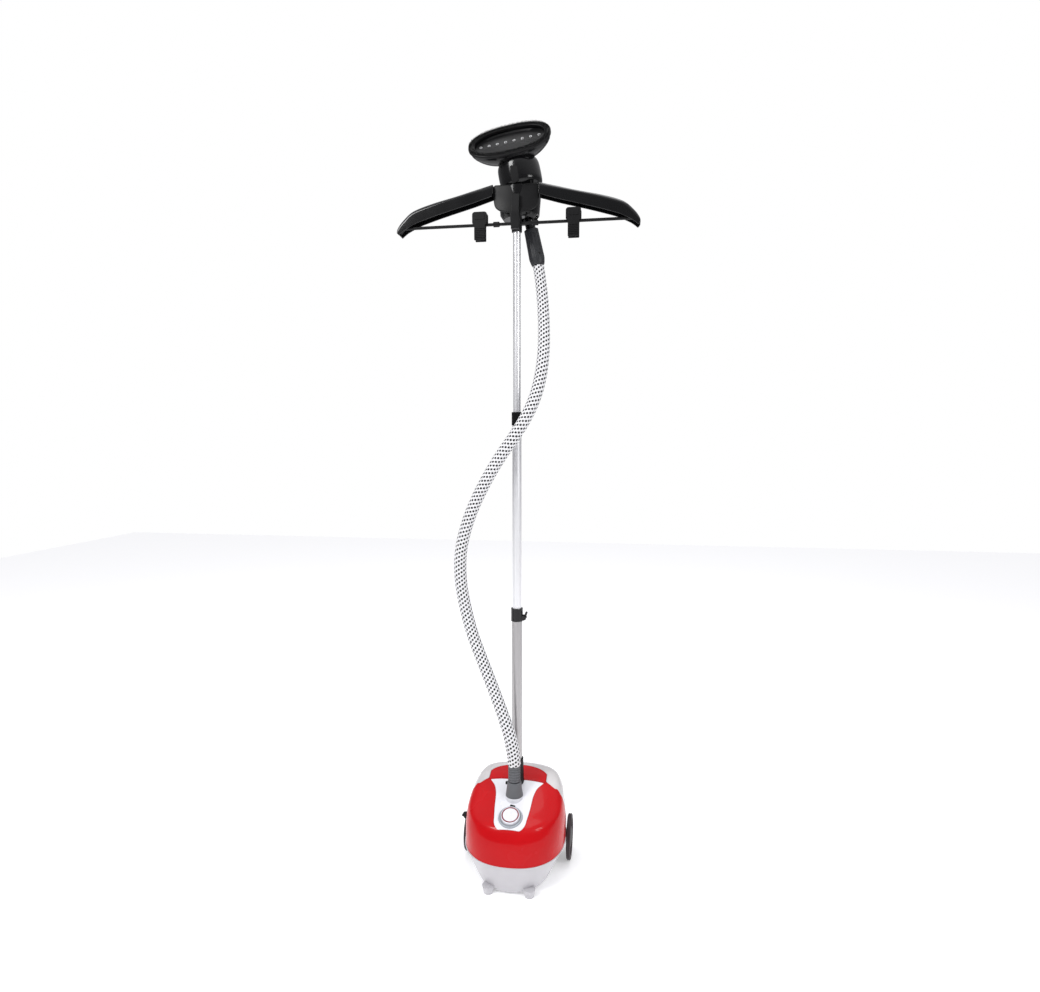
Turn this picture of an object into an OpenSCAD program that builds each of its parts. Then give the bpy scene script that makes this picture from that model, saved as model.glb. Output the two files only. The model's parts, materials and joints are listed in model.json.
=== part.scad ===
// Upright garment steamer: wheeled base, telescopic pole, hanger and hand-held steam head.
// Millimetres, +Z up, front towards -Y, floor at Z = 0, origin under the middle of the base.

/* [Base] */
// Half of the widest width of the casing
body_half_w = 106; // [100:1:112]
// Half of the casing's length, front to back
body_half_l = 120; // [114:1:126]
// Height of the seam between the pan and the coloured casing
seam_z = 68; // [60:1:76]
// Height of the casing's highest point
body_top = 186; // [180:1:192]
// Wall of the moulded casings
wall = 2.5; // [2:0.25:3]
// Slope of the control panel, in degrees
panel_slope = 21.8; // [18:0.1:26]

/* [Wheels] */
// Radius of a wheel
wheel_r = 46.5; // [42:0.5:54]
// Width of a wheel at its tread
wheel_w = 9.5; // [8:0.5:12]
// Wheel axle's distance behind the middle of the base
wheel_y = 39; // [32:1:46]
// Radius of the axle
axle_r = 4; // [3:0.5:5]

/* [Pole] */
// Distance of the pole behind the middle of the base
pole_y = 8; // [4:1:12]
// Outer radius of the bottom tube
low_r = 11; // [10.5:0.5:12]
// Outer radius of the middle tube
mid_r = 9.3; // [9:0.1:9.4]
// Outer radius of the top tube
top_r = 7.6; // [7.2:0.1:7.8]
// Wall of the tubes
tube_wall = 1; // [0.8:0.1:1.2]
// Top of the bottom tube
low_top = 545; // [520:5:570]
// Top of the middle tube
mid_top = 955; // [930:5:980]
// Top of the top tube
top_top = 1356; // [1350:1:1358]

/* [Hanger] */
// Half of the hanger's full width
hanger_half = 245; // [220:5:250]
// Height of the trouser bar
bar_z = 1343; // [1340:1:1346]
// Radius of the trouser bar
bar_r = 3; // [2.5:0.5:3.5]
// Depth of an arm, front to back
arm_d = 27; // [22:1:32]
// Height of the bottom of the cradle cup
cup_z = 1361; // [1356:1:1364]

/* [Steam head] */
// Long diameter of the steam head
head_l = 168; // [150:1:176]
// Short diameter of the steam head
head_s = 84; // [76:1:90]
// Lean of the whole hand-held unit, in degrees
lean = 12; // [8:1:15]
// Lean of the steam head's long side, in degrees
head_lean = 9; // [6:1:14]

/* [Hidden] */
tiny = 0.01;
run_gap = 0.06;
free_gap = 0.4;
round_fn = 64;
ring_fn = 40;
red = "#d10f14";
white = "#eeeef0";
pan_grey = "#d9d8da";
tank_grey = "#c9c4c2";
black = "#141414";
soft_grey = "#7f8386";
alu = "#c4c5c8";

// Rings of the casing from the seam up: [height, half width, front, back]
dome = [
    [seam_z, body_half_w, -body_half_l, body_half_l - 1],
    [84, body_half_w, -body_half_l, body_half_l - 0.5],
    [100, body_half_w, -body_half_l + 1, body_half_l],
    [115, body_half_w - 0.6, -body_half_l + 4, body_half_l - 0.5],
    [128, body_half_w - 1.8, -body_half_l + 9.5, body_half_l - 1.5],
    [139, body_half_w - 3.8, -103, body_half_l - 3.5],
    [155, body_half_w - 8, -62, body_half_l - 8],
    [170, body_half_w - 16, -24, body_half_l - 15.5],
    [180, body_half_w - 26, 2, body_half_l - 25],
    [body_top, body_half_w - 42, 18, body_half_l - 37]
];
// Rings of the pan from its underside up to the seam
pan = [
    [5, 75, -105, 98],
    [18, 82, -109, 104],
    [40, 93, -115, 112],
    [seam_z, body_half_w, -body_half_l, body_half_l - 1]
];
floor_z = 5;
tank_floor = seam_z + 0.4;
strip_half = 62;
strip_front = 12;

knob_y = -79;
socket_y = -29;
socket_top_z = 200;
cuff_top_z = 236;

// Handheld axis: a point on it at the cup's floor
hand_x = 21;
hand_y = pole_y + 28;
hand_z = cup_z;
cup_y = pole_y + 28;
bar_y = pole_y - 14;
clip_left_x = -72;
clip_right_x = 115;
clip_w = 30;
head_mid = [-15, pole_y + 2, 1508];
head_pitch = 60;

// The hose's route, from the cuff on the base up to the sleeve on the hand-held unit
hose_r = 12.5;
hose_route = [
    [0, -29, 236], [-2, -31, 262], [-9, -34, 300], [-23, -35, 345], [-44, -33, 400],
    [-66, -31, 455], [-87, -29, 510], [-102, -28, 565], [-111, -28, 615], [-113, -28, 660],
    [-109, -28, 700], [-97, -28, 745], [-79, -28, 790], [-56, -28, 835], [-29, -27, 880],
    [0, -25, 922], [24, -20, 962], [41, -13, 1003], [51, -4, 1048], [55, 7, 1098],
    [54, 18, 1148], [50, 28, 1200], [45, 34, 1240], [40.5, 36, 1269.3]
];

function ring_point(r, k, inset) =
    let (a = 360 * k / ring_fn, n = 2 / 2.35)
    let (c = cos(a), s = sin(a))
    [(r[1] - inset) * sign(c) * pow(abs(c), n),
     (r[2] + r[3]) / 2 + ((r[3] - r[2]) / 2 - inset) * sign(s) * pow(abs(s), n)];

// A closed solid through a stack of rounded rings, drawn in by inset on every side
module loft(rings, inset) {
    top = len(rings) - 1;
    points = [for (i = [0:top], k = [0:ring_fn - 1])
        concat(ring_point(rings[i], k, inset), [rings[i][0]])];
    sides = [for (i = [0:top - 1], k = [0:ring_fn - 1], half = [0, 1])
        let (low = i * ring_fn, high = low + ring_fn, next = (k + 1) % ring_fn)
        half == 0 ? [low + k, high + k, high + next] : [low + k, high + next, low + next]];
    base = [[for (k = [0:ring_fn - 1]) k]];
    lid = [[for (k = [ring_fn - 1:-1:0]) top * ring_fn + k]];
    polyhedron(points = points, faces = concat(sides, base, lid), convexity = 6);
}

// The rear strip's outer line is an arc, drawn through these angles
rear_arc = [for (i = [0:16]) 62 - 7.75 * i];
function rear_point(a, half, mid, rise) =
    [half * sin(a) / sin(62), mid + rise * (cos(a) - cos(62)) / (1 - cos(62))];

// Plan of everything in front of the tank, grown by grow
module front_plan(grow) {
    back = strip_front + 3 + grow;
    polygon(concat(
        [[-130, back - 9], [-130, -140], [130, -140], [130, back - 9], [93, back - 9], [87, back - 4],
         [82, back - 8], [strip_half + grow, back]],
        [for (a = rear_arc) rear_point(a, strip_half + grow, 36, 28 + grow)],
        [[-strip_half - grow, back], [-82, back - 8], [-87, back - 4], [-93, back - 9]]
    ));
}

// Plan of the panel, a keystone with a rounded front, grown by grow
module panel_plan(grow) {
    polygon(concat(
        [[58 + grow, strip_front - 2 + grow], [45 + grow, -6], [39.5 + grow, -25], [36.5 + grow, -60]],
        [for (a = [0:-15:-90]) [19 + (14 + grow) * cos(a), -84 + (20 + grow) * sin(a)]],
        [for (a = [-90:-15:-180]) [-19 + (14 + grow) * cos(a), -84 + (20 + grow) * sin(a)]],
        [[-36.5 - grow, -60], [-39.5 - grow, -25], [-45 - grow, -6], [-58 - grow, strip_front - 2 + grow]]
    ));
}

// Plan of the strip behind the panel
module strip_plan(shrink) {
    polygon(concat(
        [[-strip_half + shrink, strip_front + shrink]],
        [for (i = [16:-1:0]) rear_point(rear_arc[i], strip_half - shrink, 36 - shrink, 28)],
        [[strip_half - shrink, strip_front + shrink]]
    ));
}

module prism(low, high) {
    translate([0, 0, low])
        linear_extrude(high - low)
            children();
}

// Turns a drawing made with +Z up so that it stands square on the sloping panel
module on_panel(y) {
    translate([0, y, 179.6 + y * tan(panel_slope)])
        rotate([panel_slope, 0, 0])
            children();
}

module ring_solid(outer, inner, height) {
    difference() {
        cylinder(h = height, r = outer, $fn = round_fn);
        translate([0, 0, -1])
            cylinder(h = height + 2, r = inner, $fn = round_fn);
    }
}

module along_x(x, y, z) {
    translate([x, y, z])
        rotate([0, 90, 0])
            children();
}

module along_y(x, y, z) {
    translate([x, y, z])
        rotate([-90, 0, 0])
            children();
}

module at_pole(z) {
    translate([0, pole_y, z])
        children();
}

function with_ends(rings, low, high) = [for (i = [0:len(rings) - 1])
    [i == 0 ? low : i == len(rings) - 1 ? high : rings[i][0], rings[i][1], rings[i][2], rings[i][3]]];

// The casing above the seam as a solid, and the room inside it
module dome_solid() {
    loft(dome, 0);
}

module dome_room() {
    translate([0, 0, -1.8])
        loft(with_ends(dome, seam_z - 2, body_top - 0.8), wall);
}

module pole_hole(r) {
    at_pole(0)
        cylinder(h = 300, r = r, $fn = round_fn);
}

module socket_hole(r) {
    translate([0, socket_y, 100])
        cylinder(h = 120, r = r, $fn = round_fn);
}

module lower_shell() {
    color(pan_grey)
        difference() {
            loft(pan, 0);
            loft(with_ends(pan, floor_z + wall, seam_z + 1), wall);
            along_x(-150, wheel_y, wheel_r)
                cylinder(h = 300, r = axle_r + 0.02, $fn = round_fn);
            along_y(-30, 60, 40)
                cylinder(h = 70, r = 6, $fn = round_fn);
            for (x = [-52, 52], y = [-70, 70])
                translate([x, y, floor_z - 1])
                    cylinder(h = 10, r = 2.2, $fn = round_fn);
        }
}

foot_x = 42;
foot_y = -101;

module front_feet() {
    color(pan_grey)
        for (x = [-foot_x, foot_x])
            difference() {
                translate([x, foot_y, 0])
                    cylinder(h = 16, r1 = 9.5, r2 = 12.5, $fn = round_fn);
                loft(pan, 0);
            }
}

module base_screws() {
    color(alu)
        for (x = [-52, 52], y = [-70, 70])
            translate([x, y, 0]) {
                translate([0, 0, floor_z - 1.8])
                    cylinder(h = 1.8, r = 3.8, $fn = round_fn);
                translate([0, 0, floor_z - 0.2])
                    cylinder(h = 14, r = 2.15, $fn = round_fn);
            }
}

module upper_shell() {
    color(red)
        difference() {
            dome_solid();
            dome_room();
            prism(seam_z - 5, 260)
                difference() {
                    square(400, center = true);
                    front_plan(0);
                }
            prism(100, 260)
                panel_plan(0.3);
            prism(100, 260)
                strip_plan(-0.2);
            pole_hole(15.4);
        }
}

module rear_strip() {
    color(red)
        difference() {
            intersection() {
                dome_solid();
                prism(100, 260)
                    strip_plan(0.3);
            }
            dome_room();
            pole_hole(15.4);
        }
}

module control_panel() {
    color(white)
        difference() {
            intersection() {
                dome_solid();
                prism(100, 260)
                    panel_plan(0);
            }
            dome_room();
            pole_hole(15.4);
            socket_hole(18.2);
            on_panel(knob_y)
                translate([0, 0, -12])
                    cylinder(h = 30, r = 4, $fn = round_fn);
        }
}

cap_x = 30;
cap_y = 80;
neck_low = 56;

module tank_solid(grow, low, inset) {
    intersection() {
        if (inset > 0)
            dome_room();
        else
            dome_solid();
        prism(low, 260)
            difference() {
                square(400, center = true);
                front_plan(grow);
            }
    }
}

module water_tank() {
    color(tank_grey, 0.6)
        difference() {
            union() {
                difference() {
                    tank_solid(0.4, tank_floor, 0);
                    tank_solid(0.4 + wall, tank_floor + wall, 1);
                }
                translate([cap_x, cap_y, neck_low])
                    cylinder(h = tank_floor - neck_low + 1, r = 12.5, $fn = round_fn);
            }
            difference() {
                translate([cap_x, cap_y, neck_low - 1])
                    cylinder(h = 30, r = 10, $fn = round_fn);
                translate([cap_x - 15, cap_y - 1.5, 66])
                    cube([30, 3, 2.4]);
            }
        }
}

module tank_cap() {
    color(black)
        translate([cap_x, cap_y, 52])
            difference() {
                cylinder(h = 14, r = 15.5, $fn = round_fn);
                translate([0, 0, 2])
                    cylinder(h = 14, r = 12.9, $fn = round_fn);
                translate([0, 0, -1])
                    cylinder(h = 5, r = 2.3, $fn = round_fn);
            }
}

module tank_valve() {
    color(white)
        translate([cap_x, cap_y, 0]) {
            translate([0, 0, 46])
                cylinder(h = 8.5, r = 2, $fn = round_fn);
            translate([0, 0, 54.4])
                cylinder(h = 2, r = 6, $fn = round_fn);
        }
}

spring_turns = 4;

module valve_spring() {
    color(alu)
        for (i = [0:spring_turns - 1])
            translate([cap_x, cap_y, 57.2 + i * 2.5])
                rotate_extrude($fn = round_fn)
                    translate([4.2, 0])
                        circle(r = 0.5, $fn = 24);
}

module tank_seal() {
    color(black)
        translate([cap_x, cap_y, 54])
            ring_solid(12.4, 9, 1.7);
}

chamber_low = 24;
chamber_r = 15;

module feed_chamber() {
    color(white)
        translate([cap_x, cap_y, 0])
            difference() {
                union() {
                    translate([0, 0, chamber_low])
                        cylinder(h = 26, r = chamber_r, $fn = round_fn);
                    translate([0, 0, floor_z + wall])
                        cylinder(h = chamber_low - floor_z - wall + 1, r = 6, $fn = round_fn);
                }
                translate([0, 0, chamber_low + 2])
                    cylinder(h = 40, r = chamber_r - 2, $fn = round_fn);
                translate([0, 0, 30])
                    rotate([90, 0, 0])
                        cylinder(h = 30, r = 4, $fn = round_fn);
            }
}

heater_y = -52;
heater_r = 44;
port_x = 30;

module feed_pipe() {
    color("silver")
        along_y(port_x, -14, 30)
            ring_solid(4, 2.6, cap_y - chamber_r + 15);
}

module heater_block() {
    color(alu)
        difference() {
            union() {
                translate([0, heater_y, 18])
                    cylinder(h = 40, r = heater_r, $fn = round_fn);
                for (a = [90, 210, 330])
                    translate([34 * cos(a), heater_y + 34 * sin(a), floor_z + wall])
                        cylinder(h = 12, r = 5, $fn = round_fn);
                along_y(port_x, heater_y + 20, 30)
                    cylinder(h = -14 - heater_y - 20, r = 6, $fn = round_fn);
            }
            translate([0, heater_y, 22])
                cylinder(h = 40, r = heater_r - 9, $fn = round_fn);
            along_y(port_x, heater_y, 30)
                cylinder(h = 50, r = 2.6, $fn = round_fn);
        }
}

pipe_lean = 14.5;

module heater_lid() {
    color(alu)
        difference() {
            translate([0, heater_y, 58])
                cylinder(h = 5, r = heater_r, $fn = round_fn);
            translate([0, heater_y, 57])
                cylinder(h = 7, r = 3.5, $fn = round_fn);
        }
}

module thermostat() {
    color("dimgray") {
        translate([-24, heater_y - 8, 63])
            cylinder(h = 7, r = 9, $fn = round_fn);
        translate([20, heater_y - 12, 63])
            cylinder(h = 5, r = 6, $fn = round_fn);
    }
}

module steam_pipe() {
    color("silver")
        difference() {
            translate([0, heater_y, 63])
                rotate([-pipe_lean, 0, 0])
                    translate([0, 0, -3])
                        ring_solid(5, 3.5, 92);
            translate([-20, heater_y - 20, 50])
                cube([40, 40, 13]);
        }
}

module rotary_switch() {
    color("dimgray")
        on_panel(knob_y)
            difference() {
                union() {
                    translate([0, 0, -30])
                        cylinder(h = 22, r = 13, $fn = round_fn);
                    translate([0, 0, -9])
                        cylinder(h = 16.2, r = 3, $fn = round_fn);
                }
            }
}

module knob_bezel() {
    color(soft_grey)
        on_panel(knob_y)
            translate([0, 0, 0.9])
                difference() {
                    cylinder(h = 4, r1 = 25, r2 = 23.5, $fn = round_fn);
                    translate([0, 0, -1])
                        cylinder(h = 8, r = 20.6, $fn = round_fn);
                }
}

module knob() {
    color(white)
        on_panel(knob_y)
            difference() {
                translate([0, 0, 1.6])
                    cylinder(h = 8, r1 = 19.8, r2 = 19, $fn = round_fn);
                translate([0, 0, 8.4])
                    ring_solid(17.7, 15.3, 3);
                translate([0, 0, 0])
                    cylinder(h = 7.6, r = 3.05, $fn = round_fn);
            }
}

module knob_ring() {
    color("#8c1020")
        on_panel(knob_y)
            translate([0, 0, 8.4])
                ring_solid(17.68, 15.32, 1.6);
}

module hose_socket() {
    color(soft_grey)
        translate([0, socket_y, 150])
            difference() {
                cylinder(h = socket_top_z - 150, r1 = 18.5, r2 = 14.6, $fn = round_fn);
                translate([0, 0, -1])
                    cylinder(h = 70, r = 9.2, $fn = round_fn);
                translate([-30, 0, 45])
                    rotate([0, 90, 0])
                        cylinder(h = 30, r = 3.7, $fn = round_fn);
            }
}

module release_button() {
    color(black)
        along_x(-18.5, socket_y, 195)
            cylinder(h = 6.5, r = 3.3, $fn = round_fn);
}

cuff_ribs = 6;

module hose_cuff() {
    color(soft_grey)
        translate([0, socket_y, 0])
            difference() {
                union() {
                    translate([0, 0, 186])
                        cylinder(h = 16, r = 9.15, $fn = round_fn);
                    translate([0, 0, socket_top_z])
                        cylinder(h = cuff_top_z - socket_top_z, r = 11.6, $fn = round_fn);
                    for (i = [0:cuff_ribs - 1])
                        translate([0, 0, socket_top_z + 2 + i * 5.7])
                            cylinder(h = 3.2, r = 13, $fn = round_fn);
                }
                translate([0, 0, 180])
                    cylinder(h = 70, r = 7, $fn = round_fn);
            }
}

module pole_socket() {
    color(black)
        at_pole(0)
            difference() {
                union() {
                    translate([0, 0, floor_z + wall])
                        cylinder(h = 165, r = 13.5, $fn = round_fn);
                    translate([0, 0, 170])
                        cylinder(h = 64, r1 = 15.2, r2 = 13.6, $fn = round_fn);
                }
                translate([0, 0, 30])
                    cylinder(h = 260, r = low_r + 0.04, $fn = round_fn);
            }
}

module cord_gland() {
    color(black)
        along_y(-30, 91, 40)
            difference() {
                union() {
                    cylinder(h = 24, r = 5.95, $fn = round_fn);
                    cylinder(h = 8, r = 9, $fn = round_fn);
                }
                translate([0, 0, -1])
                    cylinder(h = 40, r = 3.6, $fn = round_fn);
            }
}

module cord_hook() {
    color(black)
        translate([-body_half_w + 0.5, -17, 0])
            rotate([-90, 0, 0])
                linear_extrude(10)
                    polygon([[0, -98], [0, -112], [-8, -111], [-12, -106], [-8, -105], [-3, -98]]);
}

wheel_x = 107;
axle_end = 113;

module axle() {
    color(alu)
        along_x(-axle_end, wheel_y, wheel_r)
            cylinder(h = 2 * axle_end, r = axle_r, $fn = round_fn);
}

module axle_clips() {
    color(alu)
        for (side = [-1, 1])
            along_x(side * 111.8 - 0.6, wheel_y, wheel_r)
                ring_solid(7, axle_r, 1.2);
}

module wheel() {
    along_x(wheel_x, wheel_y, wheel_r)
        difference() {
            union() {
                cylinder(h = 4, r = 16, $fn = round_fn);
                translate([0, 0, 1])
                    cylinder(h = 3, r = wheel_r - 8, $fn = round_fn);
                translate([0, 0, 1])
                    ring_solid(21, 18, wheel_w - 2.5);
                difference() {
                    union() {
                        cylinder(h = 2, r1 = wheel_r - 2.5, r2 = wheel_r, $fn = 96);
                        translate([0, 0, 2])
                            cylinder(h = wheel_w - 4, r = wheel_r, $fn = 96);
                        translate([0, 0, wheel_w - 2])
                            cylinder(h = 2, r1 = wheel_r, r2 = wheel_r - 2.5, $fn = 96);
                    }
                    translate([0, 0, -1])
                        cylinder(h = wheel_w + 2, r = wheel_r - 9, $fn = 96);
                }
            }
            translate([0, 0, -1])
                cylinder(h = 20, r = axle_r + run_gap, $fn = round_fn);
        }
}

module hub_cap() {
    along_x(wheel_x + 6.4, wheel_y, wheel_r)
        union() {
            cylinder(h = 1.6, r = 17.95, $fn = round_fn);
            translate([0, 0, 1.6])
                cylinder(h = 1.4, r1 = 17.95, r2 = 12, $fn = round_fn);
        }
}

module right_wheel() {
    color(black)
        wheel();
}

module left_wheel() {
    color(black)
        mirror([1, 0, 0])
            wheel();
}

module right_hub_cap() {
    color(soft_grey)
        hub_cap();
}

module left_hub_cap() {
    color(soft_grey)
        mirror([1, 0, 0])
            hub_cap();
}

low_bottom = 30;
mid_bottom = 400;
top_bottom = 830;

module tube(bottom, top, r) {
    color(alu)
        at_pole(bottom)
            ring_solid(r, r - tube_wall, top - bottom);
}

module lower_tube() {
    tube(low_bottom, low_top, low_r);
}

module middle_tube() {
    tube(mid_bottom, mid_top, mid_r);
}

module upper_tube() {
    tube(top_bottom, top_top, top_r);
}

module bush(bottom, inner, outer) {
    color(white)
        at_pole(bottom)
            ring_solid(outer, inner, 14);
}

module lower_bush() {
    bush(mid_bottom, mid_r, low_r - tube_wall - run_gap);
}

module upper_bush() {
    bush(top_bottom, top_r, mid_r - tube_wall - run_gap);
}

collar_down = 11;
collar_up = 16;
ear_pin_z = 7;

// A collar fixed on the outer tube's end, with two ears on its right for the cam lever
module clamp(end_z, outer, inner, collar_r, pin_x) {
    color(black)
        at_pole(end_z - collar_down)
            difference() {
                union() {
                    cylinder(h = collar_down + collar_up, r = collar_r, $fn = round_fn);
                    for (y = [-6.5, 4])
                        translate([0, y, 2])
                            cube([pin_x, 2.5, 10]);
                    for (y = [-6.5, 4])
                        along_y(pin_x, y, ear_pin_z)
                            cylinder(h = 2.5, r = 4, $fn = round_fn);
                }
                translate([0, 0, -1])
                    cylinder(h = collar_down + 1, r = outer, $fn = round_fn);
                cylinder(h = 60, r = inner + run_gap, $fn = round_fn);
                along_y(pin_x, -20, ear_pin_z)
                    cylinder(h = 40, r = 1.6, $fn = round_fn);
            }
}

module cam_lever(end_z, pin_x) {
    color(black)
        at_pole(end_z - collar_down)
            union() {
                along_y(pin_x, -6.5, ear_pin_z)
                    cylinder(h = 13, r = 1.55, $fn = round_fn);
                along_y(pin_x, -3.7, ear_pin_z)
                    cylinder(h = 7.4, r = 2.9, $fn = round_fn);
                translate([pin_x, 3.7, ear_pin_z])
                    rotate([90, 0, 0])
                        linear_extrude(7.4)
                            polygon([[-1, 2.7], [2.8, -0.5], [6.2, 10.5], [4.8, 12.5], [2.2, 12]]);
            }
}

low_pin_x = 16.2;
up_pin_x = 14.6;

module lower_clamp() {
    clamp(low_top, low_r, mid_r, 12.5, low_pin_x);
}

module upper_clamp() {
    clamp(mid_top, mid_r, top_r, 10.8, up_pin_x);
}

module lower_lever() {
    cam_lever(low_top, low_pin_x);
}

module upper_lever() {
    cam_lever(mid_top, up_pin_x);
}

module flat(low_y, high_y) {
    translate([0, high_y, 0])
        rotate([90, 0, 0])
            linear_extrude(high_y - low_y)
                children();
}

plate_front = -14;
ferrule_low = 1330;

module hanger_hub() {
    color(black)
        difference() {
            union() {
                flat(plate_front, plate_front + 5)
                    polygon([[-46, 1384], [-46, 1419], [46, 1419], [46, 1384], [22, 1374], [11, 1354],
                        [10.4, ferrule_low], [-10.4, ferrule_low], [-11, 1354], [-22, 1374]]);
                at_pole(ferrule_low)
                    cylinder(h = cup_z - ferrule_low - 0.5, r = 10.4, $fn = round_fn);
                translate([-8, plate_front + 1, ferrule_low + 2])
                    cube([16, 14, cup_z - ferrule_low - 3]);
            }
            at_pole(ferrule_low - 1)
                cylinder(h = top_top - ferrule_low + 1.2, r = top_r + 0.04, $fn = round_fn);
            along_x(-20, bar_y, bar_z)
                cylinder(h = 40, r = bar_r + 0.02, $fn = round_fn);
        }
}

module cradle_cup() {
    color(black)
        difference() {
            translate([2, cup_y, 0])
                rotate_extrude($fn = 96)
                    polygon([[0, cup_z], [33, cup_z], [40, cup_z + 10], [42.5, cup_z + 40], [43, cup_z + 58],
                        [40.6, cup_z + 58], [40.1, cup_z + 40], [37.6, cup_z + 12], [32, cup_z + 3],
                        [0, cup_z + 3]]);
            translate([hand_x, hand_y, hand_z])
                rotate([0, -lean, 0])
                    translate([0, 0, -20])
                        cylinder(h = 40, r = 17.2, $fn = round_fn);
            translate([hand_x, hand_y - 11, hand_z - 5])
                cube([40, 22, 14]);
        }
}

module arm() {
    difference() {
        flat(plate_front, plate_front + arm_d)
            polygon([[46.2, 1420], [120, 1401], [168, 1390], [200, 1380.5], [218, 1371.5], [234, 1356],
                [hanger_half, 1338], [240, 1329], [226, 1340], [200, 1352], [150, 1367], [90, 1383], [46.2, 1396]]);
        flat(plate_front + wall, plate_front + arm_d - wall)
            polygon([[49, 1416], [120, 1398], [167, 1387.2], [198.6, 1377.8], [216, 1369.1], [231, 1355],
                [241.5, 1338], [238, 1320], [200, 1338], [150, 1354], [90, 1370], [49, 1384]]);
    }
}

module right_arm() {
    color(black)
        arm();
}

module left_arm() {
    color(black)
        mirror([1, 0, 0])
            arm();
}

bar_end = 232;

module trouser_bar() {
    color(black)
        along_x(-bar_end, bar_y, bar_z)
            cylinder(h = 2 * bar_end, r = bar_r, $fn = round_fn);
}

module bar_collars() {
    color(black)
        for (x = [-45, 33])
            along_x(x, bar_y, bar_z)
                ring_solid(5.2, bar_r, 12);
}

// The back half of a clip, whose barrel runs on the bar
module clip_back(x) {
    color(black)
        translate([x, bar_y, bar_z])
            difference() {
                union() {
                    translate([-clip_w / 2, 4.7, 2])
                        cube([clip_w, 2.3, 22]);
                    translate([-11, 4.7, -31])
                        cube([22, 2.3, 33.5]);
                    translate([-4, -2, -5])
                        cube([8, 8, 10]);
                    along_x(-4, 0, 0)
                        cylinder(h = 8, r = 5.4, $fn = round_fn);
                }
                along_x(-30, 0, 0)
                    cylinder(h = 60, r = bar_r + run_gap, $fn = round_fn);
            }
}

// The front half, which turns about the bar when its upper plate is pressed
module clip_front(x) {
    color(black)
        translate([x, bar_y, bar_z])
            difference() {
                union() {
                    translate([-clip_w / 2, -8.4, 2])
                        cube([clip_w, 2.5, 22]);
                    translate([-11, -8.4, -31])
                        cube([22, 2.5, 34]);
                    translate([-11, -6.5, -31])
                        cube([22, 10.4, 5]);
                    for (side = [-11, 4.6]) {
                        translate([side, -7, -4])
                            cube([6.4, 5, 8]);
                        along_x(side, 0, 0)
                            cylinder(h = 6.4, r = 4.3, $fn = round_fn);
                    }
                }
                along_x(-30, 0, 0)
                    cylinder(h = 60, r = bar_r + run_gap, $fn = round_fn);
            }
}

module left_clip() {
    clip_back(clip_left_x);
}

module right_clip() {
    clip_back(clip_right_x);
}

module left_clip_jaw() {
    clip_front(clip_left_x);
}

module right_clip_jaw() {
    clip_front(clip_right_x);
}

module on_hand_axis() {
    translate([hand_x, hand_y, hand_z])
        rotate([0, -lean, 0])
            children();
}

module on_head() {
    translate(head_mid)
        rotate([0, -head_lean, 0])
            rotate([head_pitch, 0, 0])
                children();
}

function oval(z, a, b) = [z, a, -b, b];

head_a = head_l / 2 - 3;
head_b = head_s / 2 - 2;
head_rings = [oval(-36, head_a - 44, head_b - 20), oval(-30, head_a - 26, head_b - 10),
    oval(-16, head_a - 7, head_b - 2), oval(-6, head_a, head_b), oval(0, head_a, head_b)];

module head_shell() {
    color(black)
        on_head()
            difference() {
                loft(head_rings, 0);
                loft([oval(-27, head_a - 34, head_b - 14), oval(-14, head_a - 11, head_b - 6),
                    oval(-5, head_a - 4, head_b - 4), oval(1, head_a - 4, head_b - 4)], 0);
            }
}

steam_holes = 8;

module face_plate() {
    color("#2a2a2c")
        on_head()
            difference() {
                loft([oval(-5, head_a - 10, head_b - 8), oval(-1.5, head_a - 4.1, head_b - 4.1)], 0);
                loft([oval(-3.4, head_a - 16, head_b - 12), oval(0, head_a - 8, head_b - 7)], 0);
                for (i = [0:steam_holes - 1])
                    translate([(i - (steam_holes - 1) / 2) * 17, 4, -8])
                        cylinder(h = 10, r = 1.6, $fn = 32);
            }
}

module brush_frame() {
    color(black)
        on_head()
            difference() {
                loft([oval(0.05, head_a + 2.5, head_b + 2), oval(5, head_a + 3, head_b + 2),
                    oval(9, head_a - 1, head_b - 2)], 0);
                loft([oval(-1, head_a - 10, head_b - 8), oval(10, head_a - 8, head_b - 7)], 0);
            }
}

module handle_shell() {
    color(black)
        difference() {
            on_hand_axis()
                rotate_extrude($fn = 96)
                    polygon([[0, -18], [10, -18], [10.5, -4], [13, 10], [24, 32], [31, 50], [33, 60], [38, 66],
                        [43, 72], [43.5, 92], [40, 116], [36, 122], [0, 122]]);
            on_head()
                loft([oval(-36.1, head_a - 43.9, head_b - 19.9), oval(-30, head_a - 25.9, head_b - 9.9),
                    oval(-16, head_a - 6.9, head_b - 1.9), oval(-6, head_a + 0.1, head_b + 0.1),
                    oval(60, head_a + 40, head_b + 40)], 0);
        }
}

sleeve_low = -92;

module hose_sleeve() {
    color("#26282a")
        on_hand_axis()
            difference() {
                union() {
                    translate([0, 0, sleeve_low + 14])
                        cylinder(h = 58, r1 = 16, r2 = 14.5, $fn = round_fn);
                    translate([0, 0, sleeve_low])
                        cylinder(h = 14, r1 = 12.5, r2 = 16, $fn = round_fn);
                }
                translate([0, 0, -18])
                    cylinder(h = 30, r = 10, $fn = round_fn);
                translate([0, 0, sleeve_low - 1])
                    cylinder(h = 90, r = 6, $fn = round_fn);
            }
}

hose_sides = 10;

function unit(v) = v / norm(v);
function route_dir(i) = i == 0 ? [0, 0, 1]
    : i == len(hose_route) - 1 ? [-sin(lean), 0, cos(lean)]
    : unit(hose_route[i + 1] - hose_route[i - 1]);
function hose_ring(i) = let (t = route_dir(i), u = unit(cross([0, 1, 0], t)), v = cross(t, u))
    [for (k = [0:hose_sides - 1]) hose_route[i] + hose_r * (cos(360 * k / hose_sides) * u
        + sin(360 * k / hose_sides) * v)];

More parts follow.
